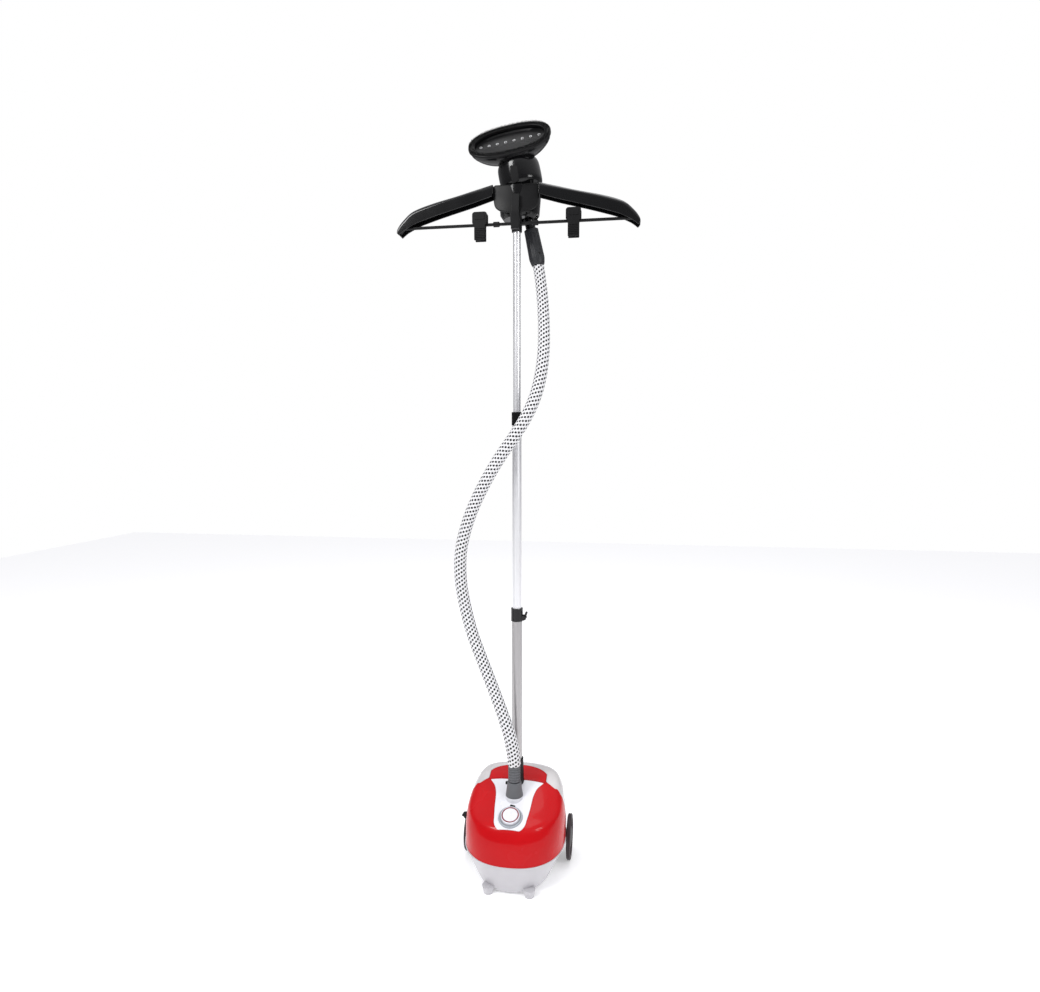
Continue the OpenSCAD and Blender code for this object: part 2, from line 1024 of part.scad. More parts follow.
module steam_hose() {
    last = len(hose_route) - 1;
    color("#e8e8ea")
        polyhedron(
            points = [for (i = [0:last]) each hose_ring(i)],
            faces = concat(
                [for (i = [0:last - 1], k = [0:hose_sides - 1], half = [0, 1])
                    let (low = i * hose_sides, high = low + hose_sides, next = (k + 1) % hose_sides)
                    half == 0 ? [low + k, high + k, high + next] : [low + k, high + next, low + next]],
                [[for (k = [0:hose_sides - 1]) k]],
                [[for (k = [hose_sides - 1:-1:0]) last * hose_sides + k]]),
            convexity = 10);
}

lower_shell();
front_feet();
base_screws();
upper_shell();
rear_strip();
control_panel();
water_tank();
tank_cap();
tank_valve();
valve_spring();
tank_seal();
feed_chamber();
feed_pipe();
heater_block();
heater_lid();
thermostat();
steam_pipe();
rotary_switch();
knob_bezel();
knob();
knob_ring();
hose_socket();
release_button();
pole_socket();
cord_gland();
cord_hook();
axle();
axle_clips();
left_wheel();
right_wheel();
left_hub_cap();
right_hub_cap();
lower_tube();
middle_tube();
upper_tube();
lower_clamp();
upper_clamp();
lower_lever();
upper_lever();
lower_bush();
upper_bush();
hanger_hub();
cradle_cup();
left_arm();
right_arm();
trouser_bar();
bar_collars();
left_clip();
right_clip();
left_clip_jaw();
right_clip_jaw();
head_shell();
face_plate();
brush_frame();
handle_shell();
hose_sleeve();
hose_cuff();
steam_hose();
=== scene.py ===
import json
import math

import bmesh
import bpy
import numpy as np
from mathutils import Matrix, Vector

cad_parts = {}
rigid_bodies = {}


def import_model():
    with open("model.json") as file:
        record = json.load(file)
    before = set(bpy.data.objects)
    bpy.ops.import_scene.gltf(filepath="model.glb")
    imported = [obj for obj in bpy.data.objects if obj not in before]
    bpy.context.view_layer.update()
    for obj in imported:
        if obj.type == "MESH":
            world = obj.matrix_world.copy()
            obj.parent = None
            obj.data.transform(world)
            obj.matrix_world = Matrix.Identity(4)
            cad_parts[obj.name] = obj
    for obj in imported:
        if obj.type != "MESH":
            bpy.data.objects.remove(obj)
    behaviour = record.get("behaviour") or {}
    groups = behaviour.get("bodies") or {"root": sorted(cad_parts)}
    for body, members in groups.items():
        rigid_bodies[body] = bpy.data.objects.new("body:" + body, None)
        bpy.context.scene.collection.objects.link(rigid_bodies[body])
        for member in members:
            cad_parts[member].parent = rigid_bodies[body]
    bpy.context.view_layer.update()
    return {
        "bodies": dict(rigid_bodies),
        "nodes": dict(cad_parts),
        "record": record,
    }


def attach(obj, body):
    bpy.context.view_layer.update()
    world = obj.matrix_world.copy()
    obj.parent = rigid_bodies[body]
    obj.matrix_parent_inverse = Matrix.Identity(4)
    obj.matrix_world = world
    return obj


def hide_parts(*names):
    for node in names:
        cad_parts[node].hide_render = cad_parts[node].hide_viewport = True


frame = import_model()
print("frame loaded:", len(frame["nodes"]), "nodes")

mm = 0.001
poleY = 0.008


# camera, floor and light

view = {
    "place": (0.2141, -1.3573, 0.917),
    "tilt": 4.92,      # degrees down
    "turn": 8.65,      # degrees towards the right side
    "lens": 23.09,
    "sensor": 36.0,
}


def addObject(name, data):
    made = bpy.data.objects.new(name, data)
    bpy.context.scene.collection.objects.link(made)
    return made


def makeCamera():
    data = bpy.data.cameras.new("studioCamera")
    data.sensor_width = view["sensor"]
    data.lens = view["lens"]
    data.clip_start = 0.02
    cam = addObject("studioCamera", data)
    cam.location = view["place"]
    cam.rotation_euler = (math.radians(90 - view["tilt"]), 0, math.radians(view["turn"]))
    bpy.context.scene.camera = cam


studio = {
    "floorSize": 9.0,
    "floorColour": (0.90, 0.90, 0.91, 1),
    "floorGlow": 0.27,   # keeps the far floor as white as the wall
    "worldColour": (1.0, 1.0, 1.0, 1),
    "worldStrength": 1.0,
    "walls": (0.24, 0.24, 0.25, 1),
    "wallsUpTo": 0.25,
    "ceiling": (0.92, 0.92, 0.94, 1),
    "ceilingFrom": 0.8,
    # each light's place, size, power and the height that it points at
    "lights": {
        "keyLight": ((-1.5, -1.9, 2.6), 0.9, 46, 0.7),
        "fillLight": ((1.9, -1.2, 1.7), 0.8, 16, 0.8),
        "topLight": ((0.1, 0.3, 3.2), 1.6, 20, 0.5),
    },
}


def setInputs(node, values):
    for name, value in values.items():
        node.inputs[name].default_value = value


def areaLight(name, place, size, power, height):
    data = bpy.data.lights.new(name, "AREA")
    data.shape = "SQUARE"
    data.size = size
    data.energy = power
    lamp = addObject(name, data)
    lamp.location = place
    aim = Vector((0, 0, height)) - Vector(place)
    lamp.rotation_euler = aim.to_track_quat("-Z", "Y").to_euler()


def softBox():
    # white all round for the camera, and for the object a bright ceiling over dimmer walls
    world = bpy.data.worlds.new("softBox")
    world.use_nodes = True
    tree = world.node_tree
    back = tree.nodes["Background"]
    out = tree.nodes["World Output"]
    coords = tree.nodes.new("ShaderNodeTexCoord")
    split = tree.nodes.new("ShaderNodeSeparateXYZ")
    tree.links.new(coords.outputs["Generated"], split.inputs["Vector"])
    shade = tree.nodes.new("ShaderNodeValToRGB")
    shade.color_ramp.interpolation = "EASE"
    shade.color_ramp.elements[0].position = studio["wallsUpTo"]
    shade.color_ramp.elements[0].color = studio["walls"]
    shade.color_ramp.elements[1].position = studio["ceilingFrom"]
    shade.color_ramp.elements[1].color = studio["ceiling"]
    tree.links.new(split.outputs["Z"], shade.inputs["Fac"])
    tree.links.new(shade.outputs["Color"], back.inputs["Color"])
    back.inputs["Strength"].default_value = studio["worldStrength"]
    plain = tree.nodes.new("ShaderNodeBackground")
    plain.inputs["Color"].default_value = studio["worldColour"]
    pick = tree.nodes.new("ShaderNodeMixShader")
    path = tree.nodes.new("ShaderNodeLightPath")
    tree.links.new(path.outputs["Is Camera Ray"], pick.inputs["Fac"])
    tree.links.new(back.outputs["Background"], pick.inputs[1])
    tree.links.new(plain.outputs["Background"], pick.inputs[2])
    tree.links.new(pick.outputs["Shader"], out.inputs["Surface"])
    return world


def makeStudio():
    half = studio["floorSize"] / 2
    mesh = bpy.data.meshes.new("floor")
    corners = [(-half, -half, 0), (half, -half, 0), (half, half, 0), (-half, half, 0)]
    mesh.from_pydata(corners, [], [(0, 1, 2, 3)])
    floor = addObject("floor", mesh)
    material = bpy.data.materials.new("paleFloor")
    material.use_nodes = True
    shader = material.node_tree.nodes["Principled BSDF"]
    setInputs(shader, {"Base Color": studio["floorColour"], "Roughness": 0.7, "Specular IOR Level": 0.15,
                       "Emission Color": (1, 1, 1, 1), "Emission Strength": studio["floorGlow"]})
    floor.data.materials.append(material)
    bpy.context.scene.world = softBox()
    bpy.context.scene.view_settings.view_transform = "Standard"
    for name, facts in studio["lights"].items():
        areaLight(name, *facts)


makeCamera()
makeStudio()
print("camera and studio ready")


# mesh helpers

def ringFaces(rings, steps, base=0):
    # four-sided faces between one ring of points and the next
    faces = []
    for i in range(rings - 1):
        low = base + i * steps
        for k in range(steps):
            nxt = (k + 1) % steps
            faces.append((low + k, low + nxt, low + steps + nxt, low + steps + k))
    return faces


def addPeg(vertices, faces, loops):
    # a small closed peg from its rings of points, in millimetres
    steps = len(loops[0])
    base = len(vertices)
    for loop in loops:
        vertices.extend((x * mm, y * mm, z * mm) for x, y, z in loop)
    faces.extend(ringFaces(len(loops), steps, base))
    top = base + (len(loops) - 1) * steps
    faces.append(tuple(top + j for j in range(steps)))
    faces.append(tuple(base + j for j in range(steps))[::-1])


def splineThrough(points, perSpan):
    # a smooth line through the points
    padded = np.vstack([2 * points[0] - points[1], points, 2 * points[-1] - points[-2]])
    out = []
    for i in range(1, len(padded) - 2):
        a, b, c, d = padded[i - 1:i + 3]
        for t in np.linspace(0, 1, perSpan, endpoint=False):
            out.append(0.5 * (2 * b + (c - a) * t + (2 * a - 5 * b + 4 * c - d) * t * t
                              + (3 * b - a - 3 * c + d) * t ** 3))
    out.append(points[-1])
    return np.array(out)


def newPiece(name, vertices, faces):
    mesh = bpy.data.meshes.new(name)
    mesh.from_pydata([tuple(v) for v in vertices], [], [tuple(f) for f in faces])
    mesh.validate()
    mesh.update()
    piece = addObject(name, mesh)
    mesh.shade_smooth()
    return piece


def roundCorners(points, arc=5, most=0.49, closed=False):
    # points are (a, b) or (a, b, radius): a corner with a radius becomes a short arc
    rounded = []
    count = len(points)
    for i, point in enumerate(points):
        here = Vector(point[:2])
        radius = point[2] if len(point) > 2 else 0
        if radius <= 0 or (not closed and i in (0, count - 1)):
            rounded.append(tuple(here))
            continue
        before = Vector(points[i - 1][:2]) - here
        after = Vector(points[(i + 1) % count][:2]) - here
        reach = min(radius, before.length * most, after.length * most)
        start = here + before.normalized() * reach
        end = here + after.normalized() * reach
        for k in range(arc + 1):
            t = k / arc
            rounded.append(tuple(start * (1 - t) ** 2 + here * (2 * t * (1 - t)) + end * t * t))
    return rounded


def smoothOutline(points):
    return roundCorners(points, 7, 0.48, closed=True)


def lathe(name, outline, steps=72, closed=False):
    # revolves an outline of (radius, height) about Z
    line = roundCorners(outline)
    vertices = []
    for r, z in line:
        for k in range(steps):
            a = 2 * math.pi * k / steps
            vertices.append((r * math.cos(a), r * math.sin(a), z))
    faces = []
    rows = len(line)
    for i in range(rows if closed else rows - 1):
        low = i * steps
        high = ((i + 1) % rows) * steps
        for k in range(steps):
            nxt = (k + 1) % steps
            faces.append((low + k, low + nxt, high + nxt, high + k))
    piece = newPiece(name, vertices, faces)
    mergeClose(piece)
    return piece


def mergeClose(piece, gap=0.00001):
    bm = bmesh.new()
    bm.from_mesh(piece.data)
    bmesh.ops.remove_doubles(bm, verts=bm.verts, dist=gap)
    bmesh.ops.dissolve_degenerate(bm, edges=bm.edges, dist=gap)
    bmesh.ops.recalc_face_normals(bm, faces=bm.faces)
    bm.to_mesh(piece.data)
    bm.free()
    piece.data.shade_smooth()


def faceOutwards(piece):
    bm = bmesh.new()
    bm.from_mesh(piece.data)
    bmesh.ops.recalc_face_normals(bm, faces=bm.faces)
    bm.to_mesh(piece.data)
    bm.free()


def turned(degrees, axis):
    return Matrix.Rotation(math.radians(degrees), 4, axis)


def place(piece, matrix):
    piece.data.transform(matrix)
    piece.data.update()


def bevelEdges(piece, width, angle=32, segments=3):
    bevel = piece.modifiers.new("softEdge", "BEVEL")
    bevel.width = width
    bevel.segments = segments
    bevel.limit_method = "ANGLE"
    bevel.angle_limit = math.radians(angle)
    bevel.harden_normals = False
    piece.data.shade_smooth()
    keep = piece.modifiers.new("keepFlats", "WEIGHTED_NORMAL")
    keep.keep_sharp = False
    return piece


def applied(piece):
    # fixes the modifiers into the mesh
    bpy.context.view_layer.update()
    graph = bpy.context.evaluated_depsgraph_get()
    mesh = bpy.data.meshes.new_from_object(piece.evaluated_get(graph))
    piece.modifiers.clear()
    piece.data = mesh
    return piece


slotOf = {s["node"]: s["material_slot"] for s in frame["record"]["subparts"]}
bodyOf = {n: b for b, nodes in frame["record"]["behaviour"]["bodies"].items() for n in nodes}
remade = set()    # nodes that a finished piece stands for


def finishPiece(piece, material, node, standsFor=True):
    # gives a piece its material and the body of a node, and takes the node's place if it stands for it
    piece.data.materials.clear()
    piece.data.materials.append(material)
    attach(piece, bodyOf[node])
    if standsFor:
        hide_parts(node)
        remade.add(node)
    return piece


def softened(node, material, width=0.0006, angle=32):
    # a CAD node's own shape with its sharp edges rounded
    source = frame["nodes"][node]
    piece = addObject(node + ".fine", source.data.copy())
    piece.data.materials.clear()
    bm = bmesh.new()
    bm.from_mesh(piece.data)
    bmesh.ops.remove_doubles(bm, verts=bm.verts, dist=0.00002)
    flat = math.radians(0.6)
    bmesh.ops.dissolve_limit(bm, angle_limit=flat, verts=bm.verts, edges=bm.edges)
    bm.to_mesh(piece.data)
    bm.free()
    bevelEdges(piece, width, angle)
    return finishPiece(piece, material, node)


# finishes

def startMaterial(name):
    material = bpy.data.materials.new(name)
    material.use_nodes = True
    return material, material.node_tree, material.node_tree.nodes["Principled BSDF"]


def addNode(tree, kind, **values):
    node = tree.nodes.new(kind)
    for key, value in values.items():
        if hasattr(node, key):
            setattr(node, key, value)
    return node


def noise(tree, scale, detail=4.0, roughness=0.55, stretch=None):
    coords = addNode(tree, "ShaderNodeTexCoord")
    source = coords.outputs["Object"]
    if stretch:
        mapping = addNode(tree, "ShaderNodeMapping")
        mapping.inputs["Scale"].default_value = stretch
        tree.links.new(source, mapping.inputs["Vector"])
        source = mapping.outputs["Vector"]
    texture = addNode(tree, "ShaderNodeTexNoise")
    setInputs(texture, {"Scale": scale, "Detail": detail, "Roughness": roughness})
    tree.links.new(source, texture.inputs["Vector"])
    return texture.outputs["Fac"]


def ramp(tree, source, low, high, lowAt=0.35, highAt=0.65):
    node = addNode(tree, "ShaderNodeValToRGB")
    node.color_ramp.elements[0].position = lowAt
    node.color_ramp.elements[1].position = highAt
    node.color_ramp.elements[0].color = low if len(low) == 4 else (*low, 1)
    node.color_ramp.elements[1].color = high if len(high) == 4 else (*high, 1)
    tree.links.new(source, node.inputs["Fac"])
    return node.outputs["Color"]


def spread(tree, source, low, high):
    node = addNode(tree, "ShaderNodeMapRange")
    setInputs(node, {"To Min": low, "To Max": high, "From Min": 0.3, "From Max": 0.7})
    tree.links.new(source, node.inputs["Value"])
    return node.outputs["Result"]


def bumpFrom(tree, shader, source, strength, distance):
    node = addNode(tree, "ShaderNodeBump")
    setInputs(node, {"Strength": strength, "Distance": distance})
    tree.links.new(source, node.inputs["Height"])
    tree.links.new(node.outputs["Normal"], shader.inputs["Normal"])


def mouldedPlastic(name, look):
    # plain moulded plastic: slight cloudiness in colour, uneven gloss, fine grain
    material, tree, shader = startMaterial(name)
    base = look["colour"]
    shade = look.get("shade", 0.9)
    darker = tuple(c * shade for c in base)
    cloud = noise(tree, look.get("cloud", 18), 3)
    tree.links.new(ramp(tree, cloud, darker, base), shader.inputs["Base Color"])
    grain = noise(tree, look.get("grain", 900), 3, 0.6)
    rough = look["rough"]
    tree.links.new(spread(tree, cloud, rough * 0.85, rough * 1.2), shader.inputs["Roughness"])
    setInputs(shader, {"Coat Weight": look.get("coat", 0.0), "Coat Roughness": look.get("coatRough", 0.08),
                       "Specular IOR Level": look.get("specular", 0.5)})
    bumpFrom(tree, shader, grain, look.get("bump", 0.12), look.get("grainDepth", 0.00006))
    return material


def brushedMetal(name, look):
    material, tree, shader = startMaterial(name)
    streak = noise(tree, look.get("scale", 260), 5, 0.6, stretch=look.get("stretch", (1, 1, 0.012)))
    tree.links.new(ramp(tree, streak, look["dark"], look["colour"]), shader.inputs["Base Color"])
    shader.inputs["Metallic"].default_value = look.get("metal", 1.0)
    tree.links.new(spread(tree, streak, look["rough"] * 0.8, look["rough"] * 1.25),
                   shader.inputs["Roughness"])
    bumpFrom(tree, shader, streak, 0.12, 0.00003)
    return material


finishes = {
    "redShell": {"colour": (0.52, 0.004, 0.007), "shade": 0.93, "rough": 0.25, "coat": 0.16,
                 "coatRough": 0.03,
                 "specular": 0.10, "bump": 0.03, "cloud": 9},
    "whitePanel": {"colour": (0.78, 0.78, 0.83), "shade": 0.96, "rough": 0.28, "coat": 0.25, "bump": 0.08},
    "pan": {"colour": (0.54, 0.53, 0.555), "shade": 0.95, "rough": 0.32, "coat": 0.2, "bump": 0.1},
    "grey": {"colour": (0.115, 0.12, 0.13), "shade": 0.85, "rough": 0.42, "bump": 0.25},
    "paleGrey": {"colour": (0.38, 0.41, 0.45), "shade": 0.9, "rough": 0.35, "bump": 0.15},
    "darkGrey": {"colour": (0.014, 0.0145, 0.016), "shade": 0.8, "rough": 0.42, "specular": 0.3,
                 "bump": 0.25},
    "blackMatt": {"colour": (0.0045, 0.0045, 0.005), "shade": 0.75, "rough": 0.42, "specular": 0.22,
                  "bump": 0.3,
                  "grain": 1300, "grainDepth": 0.0001},
    "blackGloss": {"colour": (0.004, 0.004, 0.0045), "shade": 0.8, "rough": 0.18, "coat": 0.25,
                   "specular": 0.25,
                   "bump": 0.06},
    "seal": {"colour": (0.05, 0.05, 0.052), "shade": 0.8, "rough": 0.7, "bump": 0.3},
    "knobRed": {"colour": (0.22, 0.005, 0.018), "shade": 0.85, "rough": 0.3, "bump": 0.08},
    "wheelTread": {"colour": (0.040, 0.026, 0.030), "shade": 0.7, "rough": 0.5, "specular": 0.35,
                   "bump": 0.35},
    "sleeveGrey": {"colour": (0.020, 0.021, 0.024), "shade": 0.85, "rough": 0.45, "specular": 0.4,
                   "bump": 0.25},
    "bristle": {"colour": (0.004, 0.004, 0.0045), "shade": 0.6, "rough": 0.8, "specular": 0.2, "bump": 0.9,
                "grain": 1600, "grainDepth": 0.0006},
}
plastics = {name: mouldedPlastic(name, look) for name, look in finishes.items()}

metalFinishes = {
    "poleAluminium": {"colour": (0.93, 0.93, 0.95), "dark": (0.80, 0.80, 0.82), "rough": 0.34,
                      "metal": 0.72},
    # painted shade: a darker copy of the pole aluminium, for the lowest tube
    "shadedPoleAluminium": {"colour": (0.50, 0.49, 0.49), "dark": (0.38, 0.37, 0.375), "rough": 0.36,
                         "metal": 0.8},
    "plated": {"colour": (0.66, 0.66, 0.67), "dark": (0.48, 0.48, 0.49), "rough": 0.3,
               "stretch": (1, 1, 1)},
    "castAluminium": {"colour": (0.55, 0.55, 0.56), "dark": (0.40, 0.40, 0.41), "rough": 0.5,
                      "stretch": (1, 1, 1)},
}
metals = {name: brushedMetal(name, look) for name, look in metalFinishes.items()}


def smokedTank():
    material, tree, shader = startMaterial("smokedTank")
    cloud = noise(tree, 14, 3)
    tree.links.new(ramp(tree, cloud, (0.74, 0.715, 0.72), (0.83, 0.81, 0.815)), shader.inputs["Base Color"])
    setInputs(shader, {"Roughness": 0.22, "Transmission Weight": 0.25, "IOR": 1.46})
    grain = noise(tree, 700, 3)
    bumpFrom(tree, shader, grain, 0.08, 0.00005)
    return material


tankMaterial = smokedTank()
print("finishes ready:", len(plastics) + len(metals) + 1)


# the hose: a white knitted sleeve with rows of black flecks

hose = {
    "exit": (0.0, -0.029, 0.236),
    "radius": 0.0125,
    "route": [
        (0, -29, 236), (-2, -31, 262), (-9, -34, 300), (-23, -35, 345), (-44, -33, 400),
        (-66, -31, 455), (-87, -29, 510), (-102, -28, 565), (-111, -28, 615), (-113, -28, 660),
        (-109, -28, 700), (-97, -28, 745), (-79, -28, 790), (-56, -28, 835), (-29, -27, 880),
        (0, -25, 922), (24, -20, 962), (41, -13, 1003), (51, -4, 1048), (55, 7, 1098),
        (54, 18, 1148), (50, 28, 1200), (45, 34, 1240), (40.5, 36, 1269.3),
    ],
    "sides": 64,
    "step": 0.0016,
    "stitchAround": 14,
    "stitchPitch": 0.0088,
}


def smoothRoute(points, step):
    # a smooth line through the route's points, sampled evenly
    dense = splineThrough(np.array(points, float) * mm, 40)
    along = np.concatenate([[0], np.cumsum(np.linalg.norm(np.diff(dense, axis=0), axis=1))])
    count = max(2, int(round(along[-1] / step)))
    marks = np.linspace(0, along[-1], count + 1)
    line = np.stack([np.interp(marks, along, dense[:, k]) for k in range(3)], axis=1)
    return line, marks


def frames(line):
    # directions along the line and across it, without twist
    ahead = np.gradient(line, axis=0)
    ahead /= np.linalg.norm(ahead, axis=1)[:, None]
    across = np.zeros_like(ahead)
    across[0] = np.cross((0, 1, 0), ahead[0])
    across[0] /= np.linalg.norm(across[0])
    for i in range(1, len(line)):
        v = across[i - 1] - ahead[i] * np.dot(across[i - 1], ahead[i])
        across[i] = v / np.linalg.norm(v)
    return ahead, across, np.cross(ahead, across)


def makeHose():
    line, marks = smoothRoute(hose["route"], hose["step"])
    ahead, u, v = frames(line)
    total = marks[-1]
    share = marks / total
    # the sleeve is bunched a little at the foot and drawn in at the top
    size = 1.0 + 0.10 * np.exp(-((share - 0.03) / 0.06) ** 2) - 0.10 * np.clip((share - 0.8) / 0.2, 0, 1)
    sides = hose["sides"]
    angle = 2 * np.pi * np.arange(sides) / sides
    row = marks[:, None] / hose["stitchPitch"] * 2 * np.pi
    turn = angle[None, :] * hose["stitchAround"]
    knit = 0.5 + 0.5 * np.cos(turn + row * 0.5) * np.cos(turn * 0.5 - row)
    ease = np.clip(np.minimum(marks, total - marks) / 0.006, 0, 1)[:, None]
    r = hose["radius"] * size[:, None] * (1 + 0.045 * (knit - 0.5) * ease)
    points = (line[:, None, :] + r[:, :, None] * (np.cos(angle)[None, :, None] * u[:, None, :]
              + np.sin(angle)[None, :, None] * v[:, None, :]))
    rings = len(line)
    vertices = points.reshape(-1, 3)
    faces = ringFaces(rings, sides)
    faces.append(tuple(range(sides))[::-1])
    faces.append(tuple((rings - 1) * sides + k for k in range(sides)))
    piece = newPiece("knittedHose", vertices, faces)
    uv = piece.data.uv_layers.new(name="sleeve")
    corner = np.zeros((len(piece.data.loops), 2), np.float32)
    index = 0
    for i in range(rings - 1):
        for k in range(sides):
            for dk, di in ((0, 0), (1, 0), (1, 1), (0, 1)):
                corner[index] = ((k + dk) / sides, marks[i + di])
                index += 1
    uv.data.foreach_set("uv", corner.ravel())
    return piece, line, total


def knitMaterial():
    material, tree, shader = startMaterial("knittedSleeve")
    uv = addNode(tree, "ShaderNodeUVMap")
    uv.uv_map = "sleeve"
    split = addNode(tree, "ShaderNodeSeparateXYZ")
    tree.links.new(uv.outputs["UV"], split.inputs["Vector"])

    def calc(kind, a, b=None, clamp=False):
        node = addNode(tree, "ShaderNodeMath", operation=kind, use_clamp=clamp)
        for slotIndex, value in enumerate((a, b)):
            if value is None:
                continue
            if isinstance(value, (int, float)):
                node.inputs[slotIndex].default_value = value
            else:
                tree.links.new(value, node.inputs[slotIndex])
        return node.outputs[0]

    column = calc("MULTIPLY", split.outputs["X"], float(hose["stitchAround"]))
    row = calc("DIVIDE", split.outputs["Y"], hose["stitchPitch"])
    # rows climb round the sleeve as a helix, and every second column is half a row up
    climb = calc("ADD", row, calc("MULTIPLY", column, 2.0 / hose["stitchAround"]))
    odd = calc("MULTIPLY", calc("FLOORED_MODULO", calc("FLOOR", column), 2.0), 0.5)
    cellX = calc("SUBTRACT", calc("FRACT", column), 0.5)
    cellY = calc("SUBTRACT", calc("FRACT", calc("ADD", climb, odd)), 0.5)
    slant = calc("SUBTRACT", cellX, calc("MULTIPLY", cellY, 0.45))
    wide = calc("POWER", calc("ABSOLUTE", calc("DIVIDE", slant, 0.40)), 2.0)
    tall = calc("POWER", calc("ABSOLUTE", calc("DIVIDE", cellY, 0.29)), 2.0)
    wobble = noise(tree, 900, 2)
    radius = calc("ADD", calc("ADD", wide, tall), calc("MULTIPLY", calc("SUBTRACT", wobble, 0.5), 0.9))
    sharp = addNode(tree, "ShaderNodeMapRange", interpolation_type="SMOOTHSTEP")
    setInputs(sharp, {"From Min": 0.7, "From Max": 1.15, "To Min": 1.0, "To Max": 0.0})
    tree.links.new(radius, sharp.inputs["Value"])
    yarn = noise(tree, 2600, 3, 0.6)
    pale = ramp(tree, yarn, (0.66, 0.66, 0.68), (0.90, 0.90, 0.91))
    mix = addNode(tree, "ShaderNodeMix", data_type="RGBA")
    tree.links.new(sharp.outputs["Result"], mix.inputs["Factor"])
    tree.links.new(pale, mix.inputs["A"])
    mix.inputs["B"].default_value = (0.006, 0.006, 0.007, 1)
    tree.links.new(mix.outputs["Result"], shader.inputs["Base Color"])
    setInputs(shader, {"Roughness": 0.75, "Sheen Weight": 0.15})
    height = calc("SUBTRACT", calc("MULTIPLY", yarn, 0.6), calc("MULTIPLY", sharp.outputs["Result"], 0.5))
    bumpFrom(tree, shader, height, 0.6, 0.0006)
    return material


# the hose follows the hand-held unit, more and more towards its top

hoseGive = {
    "rigidEnd": 0.035,         # metres at each end that keep to their own body
    "ease": 0.2,               # how gently the give starts and stops
}


def letHoseGive(piece, line):
    sides = hose["sides"]
    z = line[:, 2]
    end = hoseGive["rigidEnd"]
    share = np.clip((z - z[0] - end) / (z[-1] - z[0] - 2 * end), 0, 1)
    share = share * (1 - hoseGive["ease"]) + hoseGive["ease"] * share * share * (3 - 2 * share)
    group = piece.vertex_groups.new(name="follow")
    for i, weight in enumerate(share):
        if weight > 0.0005:
            group.add(list(range(i * sides, (i + 1) * sides)), float(weight), "REPLACE")
    hook = piece.modifiers.new("follow", "HOOK")
    hook.object = frame["bodies"]["handheld"]
    hook.vertex_group = "follow"
    hook.falloff_type = "NONE"
    hook.matrix_inverse = Matrix.Identity(4)


hosePiece, hoseLine, hoseLength = makeHose()
finishPiece(hosePiece, knitMaterial(), "steam_hose")
letHoseGive(hosePiece, hoseLine)
print("hose ready, metres long:", round(hoseLength, 3))


# shapes shared by the casing's pieces

casing = {
    "corner": 2.35,      # how square the casing's plan is
    "steps": 168,
    "layers": 46,
    "wall": 2.5,
    "upper": [
        (68, 106, -120, 119), (84, 106, -120, 119.5), (100, 106, -119, 120), (115, 105.4, -116, 119.5),
        (128, 104.2, -110.5, 118.5), (139, 102.2, -103, 116.5), (155, 98, -62, 112),
        (170, 90, -24, 104.5), (180, 80, 2, 95), (186, 64, 18, 83), (188.6, 44, 28, 73),
              (189.4, 20, 41, 60),
    ],
    "lower": [(5, 75, -105, 98), (18, 82, -109, 104), (40, 93, -115, 112), (68, 106, -120, 119)],
    "panelSlope": 21.8,
    "panelLevel": 179.6,
}


def smoothRings(rings, layers):
    # extra rings between the given ones, without overshoot
    rows = np.array(rings, float)
    z = rows[:, 0]
    gap = np.diff(z)
    slope = np.diff(rows, axis=0) / gap[:, None]
    bend = np.zeros_like(rows)
    for i in range(1, len(rows) - 1):
        a, b = slope[i - 1], slope[i]
        same = a * b > 0
        w1, w2 = 2 * gap[i] + gap[i - 1], gap[i] + 2 * gap[i - 1]
        with np.errstate(divide="ignore", invalid="ignore"):
            bend[i] = np.where(same, (w1 + w2) / (w1 / a + w2 / b), 0)
    bend[0], bend[-1] = slope[0], slope[-1]
    out = []
    for i in range(len(rows) - 1):
        count = max(2, int(round(layers * gap[i] / (z[-1] - z[0]))) + 1)
        for t in np.linspace(0, 1, count, endpoint=False):
            h00, h10 = 2 * t ** 3 - 3 * t * t + 1, t ** 3 - 2 * t * t + t
            h01, h11 = -2 * t ** 3 + 3 * t * t, t ** 3 - t * t
            out.append(h00 * rows[i] + h10 * gap[i] * bend[i] + h01 * rows[i + 1] + h11 * gap[i] * bend[i + 1])
    out.append(rows[-1])
    return np.array(out)


def ringLoop(ring, steps, power, inset=0.0):
    z, half, front, back = ring
    a = 2 * np.pi * np.arange(steps) / steps
    c, s = np.cos(a), np.sin(a)
    x = (half - inset) * np.sign(c) * np.abs(c) ** (2 / power)
    y = (front + back) / 2 + ((back - front) / 2 - inset) * np.sign(s) * np.abs(s) ** (2 / power)
    return np.stack([x, y, np.full(steps, z)], axis=1)


def evenLoop(loop):
    # spaces a closed loop's points evenly
    closed = np.vstack([loop, loop[:1]])
    along = np.concatenate([[0], np.cumsum(np.linalg.norm(np.diff(closed, axis=0), axis=1))])
    marks = np.linspace(0, along[-1], len(loop), endpoint=False)
    return np.stack([np.interp(marks, along, closed[:, k]) for k in range(3)], axis=1)


def casingLoop(ring, inset=0.0):
    return evenLoop(ringLoop(ring, casing["steps"], casing["corner"], inset))


def loftPiece(name, loops, closeEnds=True):
    loops = [np.asarray(loop, float) * mm for loop in loops]
    steps = len(loops[0])
    vertices = np.vstack(loops)
    faces = ringFaces(len(loops), steps)
    if closeEnds:
        faces.append(tuple(range(steps))[::-1])
        faces.append(tuple((len(loops) - 1) * steps + k for k in range(steps)))
    return newPiece(name, vertices, faces)


def casingSolid(name, rings, inset=0.0, drop=0.0):
    loops = []
    for ring in smoothRings(rings, casing["layers"]):
        loop = casingLoop(ring, inset)
        loop[:, 2] -= drop
        loops.append(loop)
    return loftPiece(name, loops)


